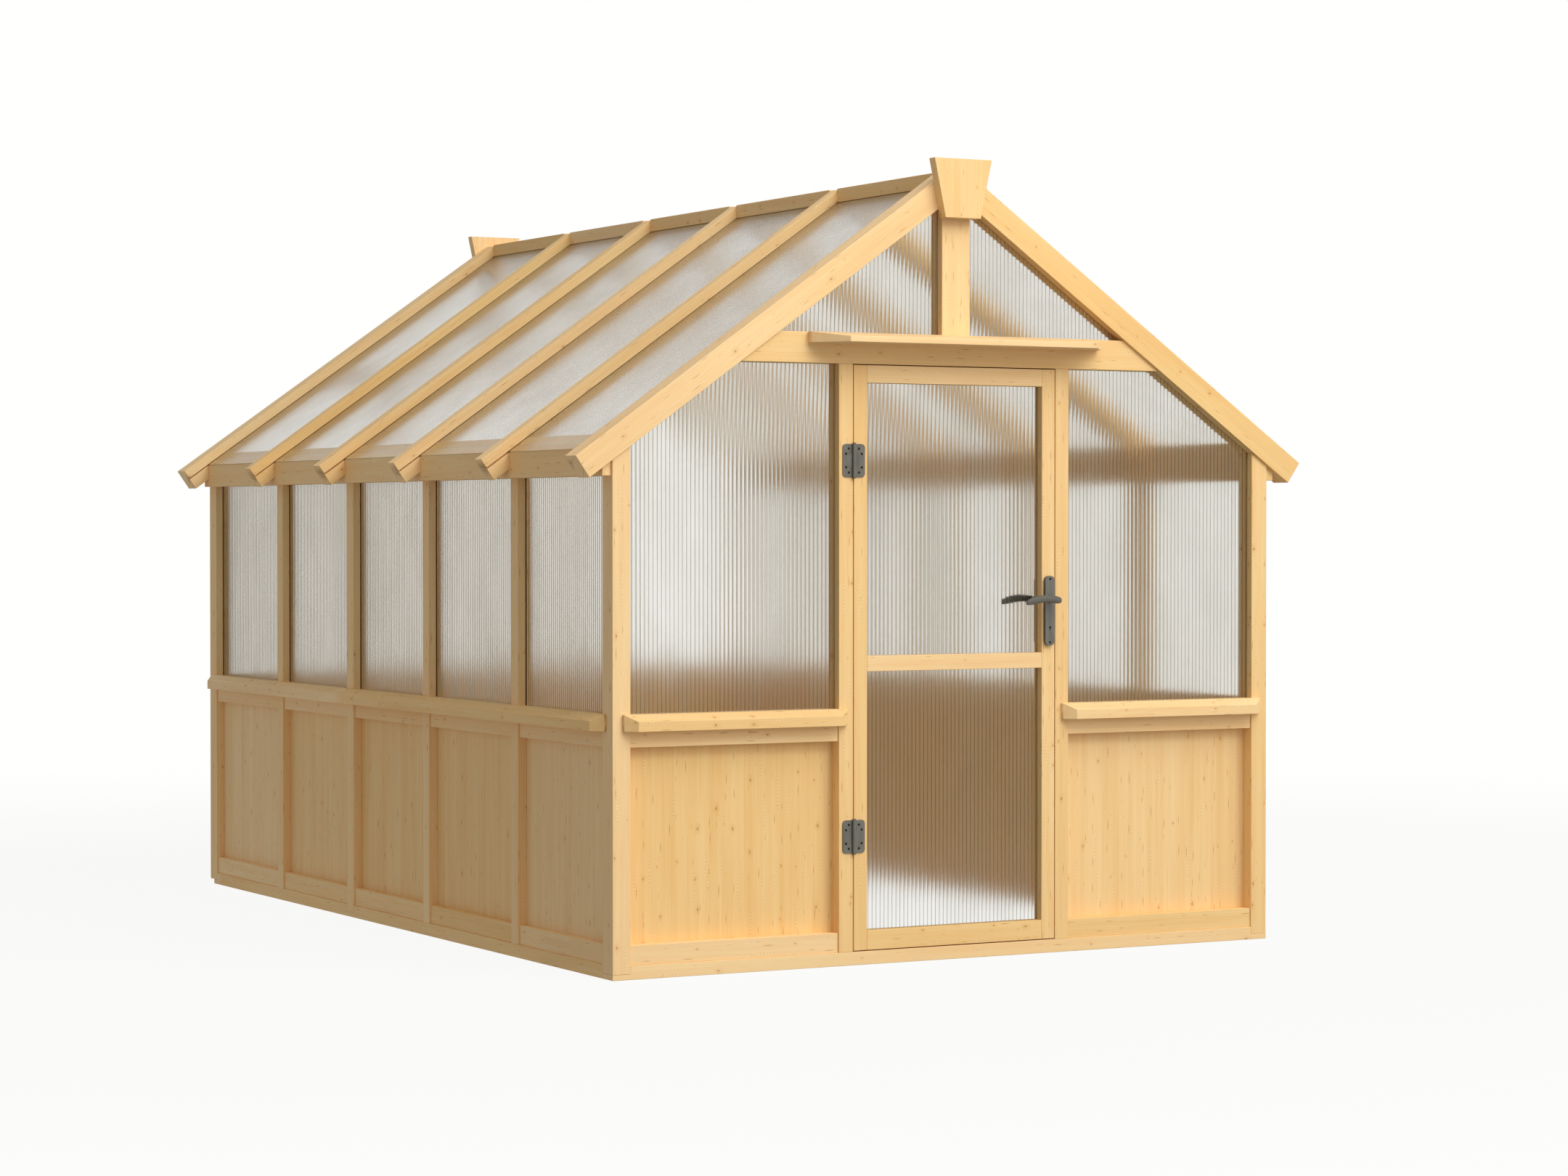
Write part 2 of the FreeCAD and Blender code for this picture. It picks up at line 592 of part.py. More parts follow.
finial = wedge("finial", {"Xmin": "-finial_low_width / 2", "Xmax": "finial_low_width / 2",
                          "X2min": "-finial_top_width / 2", "X2max": "finial_top_width / 2",
                          "Ymin": "0", "Ymax": "finial_height", "Zmin": "0", "Z2min": "0",
                          "Zmax": "finial_thickness", "Z2max": "finial_thickness"},
               "0", f"{FRONT} - gable_rafter_proud", f"{RIDGE_LINE} + finial_rise - finial_height", UPRIGHT)
node("finials", group("finials", [finial, mirrored("rear_finial", finial, "y", MIDDLE)]))

# Door leaf: two stiles, three rails and two panes, flush with the front of the wall
leaf_y = (FRONT, DOOR_BACK)
leaf_bay = (f"-{STILE_INNER}", STILE_INNER)
middle_rail_top = "(door_middle_rail_place + door_middle_rail_height)"
bottom_rail_top = f"({DOOR_LOW} + door_bottom_rail_height)"
top_rail_low = f"({DOOR_TOP} - door_top_rail_height)"
upper_pane, upper_groove = pane_and_groove("upper_pane", leaf_bay, end_pane_y,
                                           (middle_rail_top, top_rail_low), "y")
lower_pane, lower_groove = pane_and_groove("lower_pane", leaf_bay, end_pane_y,
                                           (bottom_rail_top, "door_middle_rail_place"), "y")
door_grooves = group("door_grooves", [upper_groove, lower_groove])
door_rail_heights = ((DOOR_LOW, bottom_rail_top), ("door_middle_rail_place", middle_rail_top),
                     (top_rail_low, DOOR_TOP))
door_rails = group("door_rails", [block("door_rail", leaf_bay, leaf_y, z) for z in door_rail_heights])
node("door_rails", cut("door_rails", door_rails, door_grooves))
node("door_glazing", group("door_glazing", [upper_pane, lower_pane]))
hinge_stile = cut("hinge_stile", block("hinge_stile", (f"-{DOOR_EDGE}", f"-{STILE_INNER}"), leaf_y,
                                       (DOOR_LOW, DOOR_TOP)), door_grooves)
lock_stile = cut("lock_stile", block("lock_stile", (STILE_INNER, DOOR_EDGE), leaf_y, (DOOR_LOW, DOOR_TOP)),
                 door_grooves)

# Stop strips behind the door, with the lock side left open at the inner handle plate
stop_y = (f"{DOOR_BACK} + stop_gap", f"{DOOR_BACK} + stop_gap + stop_depth")
stop_top = "(cross_beam_place - stop_width)"
lock_stop_x = (f"{OPENING} - stop_width", OPENING)
node("door_stops", group("door_stops", [
    block("hinge_stop", (f"-{OPENING}", f"-{OPENING} + stop_width"), stop_y, ("base_height", stop_top)),
    block("lower_lock_stop", lock_stop_x, stop_y, ("base_height", f"{PLATE_LOW} - stop_width")),
    block("upper_lock_stop", lock_stop_x, stop_y, (f"{PLATE_HIGH} + stop_width", stop_top)),
    block("head_stop", (f"-{OPENING}", OPENING), stop_y, (stop_top, "cross_beam_place")),
]))


def rounded_plate(name, width, height, thickness, radius, rounded_sides):
    """A flat plate in the XZ plane from its low left corner, thick towards -Y, with rounded corners.

    Its outline is drafted tall and narrow, then takes its sizes through the constraints."""
    body = doc.addObject("PartDesign::Body", name)
    sketch = body.newObject("Sketcher::SketchObject", f"{name}_outline")
    plane = next(each for each in body.Origin.OriginFeatures if each.Role == "XZ_Plane")
    sketch.AttachmentSupport = [(plane, "")]
    sketch.MapMode = "FlatFace"
    draft_width = 30
    draft_height = 100
    far = Vector(draft_width, draft_height)
    corners = [Vector(0, 0), Vector(far.x, 0), far, Vector(0, far.y)]
    for index in range(4):
        sketch.addGeometry(Part.LineSegment(corners[index], corners[(index + 1) % 4]))
    for index in range(4):
        sketch.addConstraint(Sketcher.Constraint("Coincident", index, 2, (index + 1) % 4, 1))
        sketch.addConstraint(Sketcher.Constraint("Vertical" if index % 2 else "Horizontal", index))
    sketch.addConstraint(Sketcher.Constraint("Coincident", 0, 1, -1, 1))
    across = sketch.addConstraint(Sketcher.Constraint("DistanceX", 0, 1, 0, 2, draft_width))
    up = sketch.addConstraint(Sketcher.Constraint("DistanceY", 1, 1, 1, 2, draft_height))
    bind(sketch, {f"Constraints[{across}]": width, f"Constraints[{up}]": height})
    pad = body.newObject("PartDesign::Pad", f"{name}_pad")
    pad.Profile = sketch
    bind(pad, {"Length": thickness})
    doc.recompute()
    middle = pad.Shape.BoundBox.Center.x
    edges = []
    for index, edge in enumerate(pad.Shape.Edges, start=1):
        side = "left" if edge.CenterOfMass.x < middle else "right"
        if abs(edge.tangentAt(edge.FirstParameter).y) > 0.5 and side in rounded_sides:
            edges.append(f"Edge{index}")
    fillet = body.newObject("PartDesign::Fillet", f"{name}_corners")
    fillet.Base = (pad, edges)
    bind(fillet, {"Radius": radius})
    return body


def screw(name, x, y, z):
    """A countersunk wood screw driven in +Y, its head flush at y, with a round socket."""
    head = doc.addObject("Part::Cone", name)
    bind(head, {"Radius1": "screw_head_radius", "Radius2": "screw_shank_radius",
                "Height": "screw_head_height"})
    place(head, x, y, z, INTO_DOOR)
    shank = rod(name, "screw_shank_radius", "screw_length", x, y, z, INTO_DOOR)
    socket = rod(name, "screw_socket_radius", "screw_socket_depth", x, y, z, INTO_DOOR)
    return fuse(name, head, shank), socket


def hinge_leaf(name, side, knuckles, centre, screws):
    """One leaf of a butt hinge on the front face, with its knuckles round the pin's axis."""
    sign = {"frame": "-", "door": "+"}[side]
    low = f"({centre} - hinge_height / 2)"
    inner_edge = "(hinge_barrel_radius + hinge_gap)"
    plate = rounded_plate(name, f"hinge_leaf_reach - {inner_edge}", "hinge_height", "hinge_leaf_thickness",
                          "hinge_corner_radius", ("left",))
    place(plate, f"{HINGE_X} - hinge_leaf_reach", FRONT, low)
    if side == "door":
        plate = mirrored(name, plate, "x", HINGE_X)
    pitch = f"(hinge_height / {KNUCKLES})"
    solids = [plate]
    for index in knuckles:
        start = f"{low} + {index} * {pitch} + hinge_gap / 2"
        end = f"{low} + {index + 1} * {pitch} - hinge_gap / 2"
        reach = (f"{HINGE_X} - {inner_edge} - hinge_leaf_thickness", HINGE_X)
        if side == "door":
            reach = (HINGE_X, f"{HINGE_X} + {inner_edge} + hinge_leaf_thickness")
        solids.append(block(f"{name}_tab", reach, (f"{FRONT} - hinge_leaf_thickness", FRONT), (start, end)))
        solids.append(rod(f"{name}_knuckle", "hinge_barrel_radius", f"{pitch} - hinge_gap",
                          HINGE_X, HINGE_Y, start))
    bore = rod(f"{name}_bore", "hinge_pin_radius + hinge_running_clearance", "2 * hinge_height",
               HINGE_X, HINGE_Y, f"{centre} - hinge_height")
    screw_places = (("hinge_screw_reach", "(hinge_height / 2 - hinge_screw_end_inset)"),
                    ("(hinge_leaf_reach - hinge_screw_edge_inset)", "hinge_screw_rise"))
    for across, up in screw_places:
        for rise in ("-", "+"):
            screws.append(screw(f"{name}_screw", f"{HINGE_X} {sign} {across}",
                                f"{FRONT} - hinge_leaf_thickness", f"{centre} {rise} {up}"))
    return cut(name, fuse(name, *solids), bore)


def hinge_pin(centre):
    """A pin through the knuckles, with a cap on each end."""
    low = f"({centre} - hinge_height / 2)"
    high = f"({centre} + hinge_height / 2)"
    caps = [rod("pin_cap", "hinge_pin_head_radius", "hinge_pin_head_height", HINGE_X, HINGE_Y, start)
            for start in (f"{low} - hinge_pin_head_height", high)]
    pin = rod("hinge_pin", "hinge_pin_radius", "hinge_height", HINGE_X, HINGE_Y, low)
    return fuse("hinge_pin", pin, *caps)


# Hinges: surface leaves screwed to the door post and to the door
hinge_places = (f"({DOOR_TOP} - upper_hinge_drop)", f"({DOOR_LOW} + lower_hinge_rise)")
for side, knuckles in (("frame", FRAME_KNUCKLES), ("door", DOOR_KNUCKLES)):
    screws = []
    leaves = [hinge_leaf(f"{side}_leaf", side, knuckles, centre, screws) for centre in hinge_places]
    blanks = group(f"{side}_screw_blanks", [blank for blank, socket in screws])
    sockets = group(f"{side}_screw_sockets", [socket for blank, socket in screws])
    node(f"hinge_leaves_{side}", cut(f"{side}_leaves", group(f"{side}_leaves", leaves), blanks))
    node(f"hinge_screws_{side}", cut(f"{side}_screws", blanks, sockets))
    if side == "frame":
        node("door_post_left", cut("door_post_left", left_door_post, blanks))
    else:
        node("door_hinge_stile", cut("door_hinge_stile", hinge_stile, blanks))
node("hinge_pins", group("hinge_pins", [hinge_pin(centre) for centre in hinge_places]))

# Handle plates on both faces of the lock stile, bolted through it
bolt_places = (f"{PLATE_LOW} + plate_bolt_inset", f"{PLATE_HIGH} - plate_bolt_inset")
bolt_blanks = []
bolt_sockets = []
for z in bolt_places:
    shank = rod("plate_bolt", "screw_shank_radius", "door_thickness + 2 * plate_thickness", SPINDLE_X,
                f"{FRONT} - plate_thickness", z, INTO_DOOR)
    head, socket = screw("plate_bolt_head", SPINDLE_X, f"{FRONT} - plate_thickness", z)
    bolt_blanks.append(fuse("plate_bolt", shank, head))
    bolt_sockets.append(socket)
bolt_blank_set = group("plate_bolt_blanks", bolt_blanks)
node("handle_plate_bolts", cut("handle_plate_bolts", bolt_blank_set, group("bolt_sockets", bolt_sockets)))
outer_plate = rounded_plate("handle_plate", "plate_width", "plate_above + plate_below", "plate_thickness",
                            "plate_corner_radius", ("left", "right"))
place(outer_plate, f"{SPINDLE_X} - plate_width / 2", FRONT, PLATE_LOW)


def through_door(name, radius, z):
    """A round hole through the door, the plates and beyond."""
    return rod(name, radius, "3 * door_thickness", SPINDLE_X, f"{FRONT} - door_thickness", z, INTO_DOOR)


def about_spindle(width):
    """A span across the lock stile about the spindle."""
    return (f"{SPINDLE_X} - ({width}) / 2", f"{SPINDLE_X} + ({width}) / 2")


spindle_hole = through_door("spindle_hole", SPINDLE_HOLE, "handle_place")
keyhole = fuse("keyhole", through_door("keyhole", "keyhole_radius", KEYHOLE_Z),
               block("keyhole_slot", about_spindle("keyhole_slot_width"),
                     (f"{FRONT} - door_thickness", f"{FRONT} + 2 * door_thickness"),
                     (f"{KEYHOLE_Z} - keyhole_slot_height", KEYHOLE_Z)))
handle_plates = group("handle_plates", [outer_plate, mirrored("inner_plate", outer_plate, "y", DOOR_CORE)])
node("handle_plates", cut("handle_plates", handle_plates, spindle_hole, keyhole, bolt_blank_set))

# Mortise lock in the stile: case with forend, follower, latch bolt and dead bolt
case_back = f"({STILE_INNER} + groove_depth + expansion_gap)"
case_z = (f"{PLATE_LOW} + plate_bolt_inset + lock_case_margin",
          f"{PLATE_HIGH} - plate_bolt_inset - lock_case_margin")
forend_z = (f"{case_z[0]} - forend_overhang", f"{case_z[1]} + forend_overhang")


def centred(width):
    """A span about the door's mid-thickness."""
    return (f"{DOOR_CORE} - ({width}) / 2", f"{DOOR_CORE} + ({width}) / 2")


lock_box = block("lock_box", (case_back, FOREND_BACK), centred("lock_case_thickness"), case_z)
forend = block("forend", (FOREND_BACK, DOOR_EDGE), centred("forend_width"), forend_z)
case_blank = fuse("lock_case", lock_box, forend)
latch_z = "(handle_place + latch_rise)"
dead_z = f"({KEYHOLE_Z} + dead_bolt_rise)"
latch_span = (f"{latch_z} - latch_height / 2", f"{latch_z} + latch_height / 2")
dead_span = (f"{dead_z} - dead_bolt_height / 2", f"{dead_z} + dead_bolt_height / 2")
way_start = f"({case_back} + lock_case_wall)"
latch_root = f"({way_start} + bolt_clearance + latch_throw)"
dead_root = f"({way_start} + bolt_clearance)"
dead_tip = f"({DOOR_EDGE} - dead_bolt_recess)"


def bolt_way(span, start, end):
    """The channel that a bolt slides in."""
    z = (f"{span[0]} - bolt_clearance", f"{span[1]} + bolt_clearance")
    return block("bolt_way", (start, end), centred("latch_thickness + 2 * bolt_clearance"), z)


bolt_ways = group("bolt_ways", [bolt_way(span, way_start, OPENING) for span in (latch_span, dead_span)])
follower_way = rod("follower_way", "follower_radius + bolt_clearance", "lock_case_thickness", SPINDLE_X,
                   f"{DOOR_CORE} - lock_case_thickness / 2", "handle_place", INTO_DOOR)
node("lock_case", cut("lock_case", case_blank, bolt_ways, follower_way, keyhole))
lock_stile = cut("door_lock_stile", lock_stile, case_blank, spindle_hole, keyhole, bolt_blank_set)
node("door_lock_stile", lock_stile)
latch_tip = wedge("latch_tip", {"Xmin": "0", "Xmax": "latch_thickness",
                                "X2min": "latch_thickness - latch_tip_thickness", "X2max": "latch_thickness",
                                "Ymin": "0", "Ymax": "latch_throw",
                                "Zmin": "0", "Zmax": "latch_height", "Z2min": "0", "Z2max": "latch_height"},
                  DOOR_EDGE, f"{DOOR_CORE} + latch_thickness / 2", latch_span[0], RIGHTWARD)
latch_body = block("latch_body", (latch_root, DOOR_EDGE), centred("latch_thickness"), latch_span)
node("latch_bolt", fuse("latch_bolt", latch_tip, latch_body))
node("dead_bolt", block("dead_bolt", (dead_root, dead_tip), centred("latch_thickness"), dead_span))

# Strike plate let into the door post, with pockets behind it for both bolts
strike_blank = block("strike", (OPENING, f"{OPENING} + strike_thickness"), centred("strike_width"), case_z)
pocket_end = f"{OPENING} + strike_thickness + strike_pocket_depth"
pockets = group("strike_pockets", [bolt_way(span, OPENING, pocket_end) for span in (latch_span, dead_span)])
node("strike_plate", cut("strike_plate", strike_blank, pockets))
right_door_post = mirrored("right_door_post", left_door_post, "x")
node("door_post_right", cut("door_post_right", right_door_post, strike_blank, pockets))

# Levers on a square spindle through the lock's follower
spindle_y = (f"{FRONT} - plate_thickness - bolt_clearance - spindle_grip",
             f"{DOOR_BACK} + plate_thickness + bolt_clearance + spindle_grip")
spindle = block("handle_spindle", about_spindle("spindle_side"), spindle_y,
                ("handle_place - spindle_side / 2", "handle_place + spindle_side / 2"))
node("handle_spindle", spindle)
follower = rod("follower", "follower_radius", "follower_thickness", SPINDLE_X,
               f"{DOOR_CORE} - follower_thickness / 2", "handle_place", INTO_DOOR)
node("lock_follower", cut("lock_follower", follower, spindle))
GRIP_Y = f"({FRONT} - plate_thickness - lever_stand_off)"
# Grip sections from the rounded tail to the tip: place along the lever, height, thickness and lift
grip_sections = (
    ("lever_tail", "lever_height * 0.4", "lever_thickness * 0.4", "-lever_rise * 0.35"),
    ("lever_tail * 0.65", "lever_height * 0.75", "lever_thickness * 0.75", "-lever_rise * 0.25"),
    ("0", "lever_height * 0.95", "lever_thickness", "0"),
    ("-lever_length * 0.37", "lever_height * 0.95", "lever_thickness", "lever_rise"),
    ("-lever_length * 0.68", "lever_height", "lever_thickness", "0"),
    ("-lever_length * 0.86", "lever_height * 0.86", "lever_thickness * 0.86", "-lever_droop * 0.5"),
    ("-lever_length", "lever_height * 0.55", "lever_thickness * 0.55", "-lever_droop"),
)
rings = []
for along, height, thickness, lift in grip_sections:
    ring = doc.addObject("Part::Ellipse", "grip_section")
    bind(ring, {"MajorRadius": f"({height}) / 2", "MinorRadius": f"({thickness}) / 2"})
    rings.append(place(ring, f"{SPINDLE_X} + {along}", GRIP_Y, f"handle_place + {lift}", ACROSS))
grip = doc.addObject("Part::Loft", "lever_grip")
grip.Sections = rings
grip.Solid = True
neck = rod("lever_neck", "lever_neck_radius", "lever_stand_off - bolt_clearance",
           SPINDLE_X, GRIP_Y, "handle_place", INTO_DOOR)
lever = cut("lever", fuse("lever", grip, neck), spindle)
node("handle_levers", group("handle_levers", [lever, mirrored("inner_lever", lever, "y", DOOR_CORE)]))

doc.recompute()
for item in doc.Objects:
    if "Invalid" in item.State or "Error" in item.State:
        raise RuntimeError(f"{item.Name} failed: {item.State}")
os.makedirs("parts", exist_ok=True)
for label, piece in nodes.items():
    shape = piece.Shape
    if shape.isNull() or not shape.isValid() or not shape.Solids:
        raise RuntimeError(f"{label} has no valid solid")
for label, piece in nodes.items():
    piece.Shape.exportStep(f"parts/{label}.step")
print(len(nodes), "sub-parts,", sum(len(piece.Shape.Solids) for piece in nodes.values()), "solids")
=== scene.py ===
"""Looks of a wooden gable greenhouse, dressed around its packed construction model.

Timbers get eased edges and a grain of their own, glazing sheets get ribs, and the door's metal gets
paint or plating. Lengths are in metres, and noise scales in waves per metre.
"""

import json
import math
import random

import bmesh
import bpy
from mathutils import Matrix, Vector

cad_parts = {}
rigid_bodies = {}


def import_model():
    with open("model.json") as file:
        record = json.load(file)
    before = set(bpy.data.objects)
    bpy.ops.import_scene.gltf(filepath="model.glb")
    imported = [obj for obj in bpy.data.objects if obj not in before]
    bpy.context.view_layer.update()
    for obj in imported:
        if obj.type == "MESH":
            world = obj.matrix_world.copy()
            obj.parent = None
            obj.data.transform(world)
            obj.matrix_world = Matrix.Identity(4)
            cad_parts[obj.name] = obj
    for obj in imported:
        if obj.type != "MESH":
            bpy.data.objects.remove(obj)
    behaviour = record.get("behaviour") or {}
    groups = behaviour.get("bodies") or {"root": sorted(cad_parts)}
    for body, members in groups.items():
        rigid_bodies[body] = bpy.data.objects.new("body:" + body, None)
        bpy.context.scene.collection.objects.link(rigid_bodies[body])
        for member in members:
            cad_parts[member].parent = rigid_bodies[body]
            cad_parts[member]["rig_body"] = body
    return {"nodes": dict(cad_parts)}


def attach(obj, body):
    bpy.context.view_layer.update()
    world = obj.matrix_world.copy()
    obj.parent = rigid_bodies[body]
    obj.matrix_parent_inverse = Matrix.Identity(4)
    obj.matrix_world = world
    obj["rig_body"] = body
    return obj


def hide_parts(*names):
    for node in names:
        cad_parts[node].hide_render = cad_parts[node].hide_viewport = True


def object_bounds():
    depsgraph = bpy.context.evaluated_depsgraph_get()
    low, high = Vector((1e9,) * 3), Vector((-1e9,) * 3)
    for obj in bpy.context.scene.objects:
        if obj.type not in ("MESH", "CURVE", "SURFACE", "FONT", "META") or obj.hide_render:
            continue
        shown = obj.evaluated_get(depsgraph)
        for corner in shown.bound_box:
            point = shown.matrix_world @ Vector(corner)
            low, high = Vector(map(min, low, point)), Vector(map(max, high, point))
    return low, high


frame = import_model()
cad_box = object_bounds()
HOUSE_MIDDLE = (Vector(cad_box[0]) + Vector(cad_box[1])) / 2
ROOF_PITCH = math.radians(35)

# Meshes
WELD = 1e-5
FLAT_ANGLE = math.radians(0.5)
SHARP_ANGLE = math.radians(32)
SMOOTH_ANGLE = math.radians(50)

# Eased edges
TIMBER_ARRIS = 0.0016
PLATE_ARRIS = 0.0014
HINGE_ARRIS = 0.0005
SHORTEST_ARRIS = 0.018
ARRIS_STEPS = 2

# Rounded ends of the levers, with their reach as shares of the end's radius
DOME_SIDES = 10
DOME_FACING = 0.8
DOME_SWELL = 1.1
DOME_NEAR = 3.0
DOME_FULL = 0.97

# Ribbed sheets: a clear skin, crowned between thin ribs on its outer face
# The rib's foot and draft are shares of a flute
FLUTE_PITCH = 0.0143
WALL_RIB = 0.0031
WALL_CROWN = 0.0005
ROOF_RIB = 0.0004
ROOF_CROWN = 0.0002
RIB_FOOT = 0.042
RIB_DRAFT = 0.008
RIB_FACES = 3
CROWN_STEPS = 6
CROWN_ANGLE = math.radians(25)
THINNEST_EDGE = 0.0002

# How a timber lies in its log
PITH_NEAR = 0.05
PITH_FAR = 0.13
LOG_LENGTH = 40.0
END_GRAIN = 0.3
STAVE = 0.085

# Marks on pine: one cell, across and along the grain, holds one mark, and a share of the cells stays plain
PLAIN_SHARE = 0.4
RAGGED_SCALE = (220.0, 160.0, 1.0)
KNOT_CELL = (0.06, 0.15, 1.0)
KNOT_OVAL = (1.0, 0.6, 0.0)
KNOT_RAGGED = (0.6, 1.5)
KNOT_SIZE = 0.0042
SMALLEST_KNOT = 0.0005
KNOT_CORE = 0.5
HALO_REACH = 4.0
FLECK_CELL = (0.028, 0.095, 1.0)
FLECK_OVAL = (1.0, 0.09, 0.0)
FLECK_SIZE = 0.0026
SMALLEST_FLECK = 0.0002
RIPPLE_CELL = (0.05, 0.2, 1.0)
RIPPLE_BOW = 420.0
RIPPLE_WANDER = 0.012
RIPPLE_PITCH = 0.011
RIPPLE_WIDTH = (0.002, 0.0075)
RIPPLE_LENGTH = (0.03, 0.075)

# Growth rings, fibres and streaks of pine
RING_BEND_SCALE = (7.0, 7.0, 1.3)
RING_BEND = (0.05, 0.05, 0.0)
RING_PITCH = 0.0052
RING_ROUND_KNOT = 0.004
RING_STOPS = ((0.0, 0.1), (0.5, 0.25), (0.86, 1.0), (1.0, 0.1))
RING_DEPTH = 0.13
FIBRE_SCALE = (260.0, 260.0, 5.0)
FIBRE_DEPTH = (-0.07, 0.07)
FIBRE_SPAN = (0.2, 0.8)
STREAK_SCALE = (48.0, 48.0, 1.7)
STREAK_DEPTH = (0.1, 0.36)
PATCH_SCALE = (9.0, 9.0, 1.1)
PATCH_DEPTH = (-0.05, 0.2)
NOISE_SPAN = (0.3, 0.7)
WIDE_SPAN = (0.3, 0.75)

# Colours, gloss and relief of pine; a mark's share says how far its tint covers the wood
WOOD_STOPS = ((0.0, "FADAA0"), (0.4, "F4CA8C"), (1.0, "E2AC66"))
MARK_TINTS = {
    "ripple crest": (0.45, "FFE6B8"),
    "ripple trough": (-0.35, "D6A25F"),
    "halo": (0.35, "E3AF70"),
    "fleck": (0.7, "BA8448"),
    "knot": (0.7, "B67A40"),
}
TONE_SATURATION = (0.94, 1.06)
TONE_VALUE = (1.0, 0.94)
WOOD_ROUGHNESS = (0.52, 0.68)
WOOD_SPECULAR = 0.3
FIBRE_RELIEF = 0.7
RING_RELIEF = 0.4
KNOT_RELIEF = 0.5

# Plastic of the sheets: its haze, and the share of sunlight and skylight that it lets into the house
SKIN_PLASTIC = {
    "scale": (9.0, 9.0, 4.0),
    "detail": 4.0,
    "shades": ("FCFCFA", "F6F6F3"),
    "roughness": (0.14, 0.2),
    "ior": 1.3,
    "sunlight": (0.54, 0.54, 0.53, 1.0),
    "skylight": (0.86, 0.86, 0.85, 1.0),
}
# The rib plastic is greyer than the skin: painted shade that makes the ribs and the sheet's edges read as
# dark lines
RIB_SHADE_PLASTIC = {
    "scale": (14.0, 14.0, 5.0),
    "detail": 3.0,
    "shades": ("C6BEB2", "B9B0A3"),
    "roughness": (0.3, 0.45),
    "ior": 1.06,
    "sunlight": (0.6, 0.6, 0.58, 1.0),
    "skylight": (0.7, 0.7, 0.68, 1.0),
}

# Paint and steel of the door's metal
PEEL_SCALE = (900.0, 900.0, 900.0)
CLOUD_SCALE = (35.0, 35.0, 35.0)
PAINT_SHADES = ("5A574E", "656157")
PAINT_ROUGHNESS = (0.4, 0.5)
PAINT_METAL = 0.25
WORN_SHADE = "86847B"
WORN_SPAN = (0.52, 0.6)
WORN_SHARE = 0.35
DRAWN_SCALE = (60.0, 900.0, 900.0)

# Stage
BACKDROP = (1.0, 1.0, 0.99, 1.0)
SKY_COLOUR = (1.0, 1.0, 1.0, 1.0)
SKY_STRENGTH = 0.36
FLOOR_GREY = (0.5, 0.5, 0.5, 1.0)
FLOOR_HALF = 60.0
SHADOW_SHARE = 0.08
SHADOW_NEAR = 3.0
SHADOW_FAR = 9.0
SUN_AZIMUTH = math.radians(34)
SUN_HEIGHT = math.radians(32)
SUN_SOFTNESS = math.radians(50)
SUN_STRENGTH = 1.4
LAMP_AIM = (0.0, -1.2, 1.3)
SOFTBOX_PLACE = (0.4, -5.4, 6.4)
SOFTBOX_SIDE = 5.5
SOFTBOX_POWER = 250.0
FILL_PLACE = (1.5, -12.0, 1.2)
FILL_SIDE = 6.0
FILL_POWER = 85.0
CAMERA_PLACE = (-6.0315, -11.6013, 1.3557)
CAMERA_YAW = math.radians(-28.705)
CAMERA_TILT = math.radians(90 - 0.930)
CAMERA_LENS = 84.5
SENSOR_WIDTH = 36.0


def colour(code):
    """Linear colour of a six digit hex code."""
    parts = [int(code[i:i + 2], 16) / 255 for i in (0, 2, 4)]
    return [p / 12.92 if p <= 0.04045 else ((p + 0.055) / 1.055) ** 2.4 for p in parts] + [1.0]


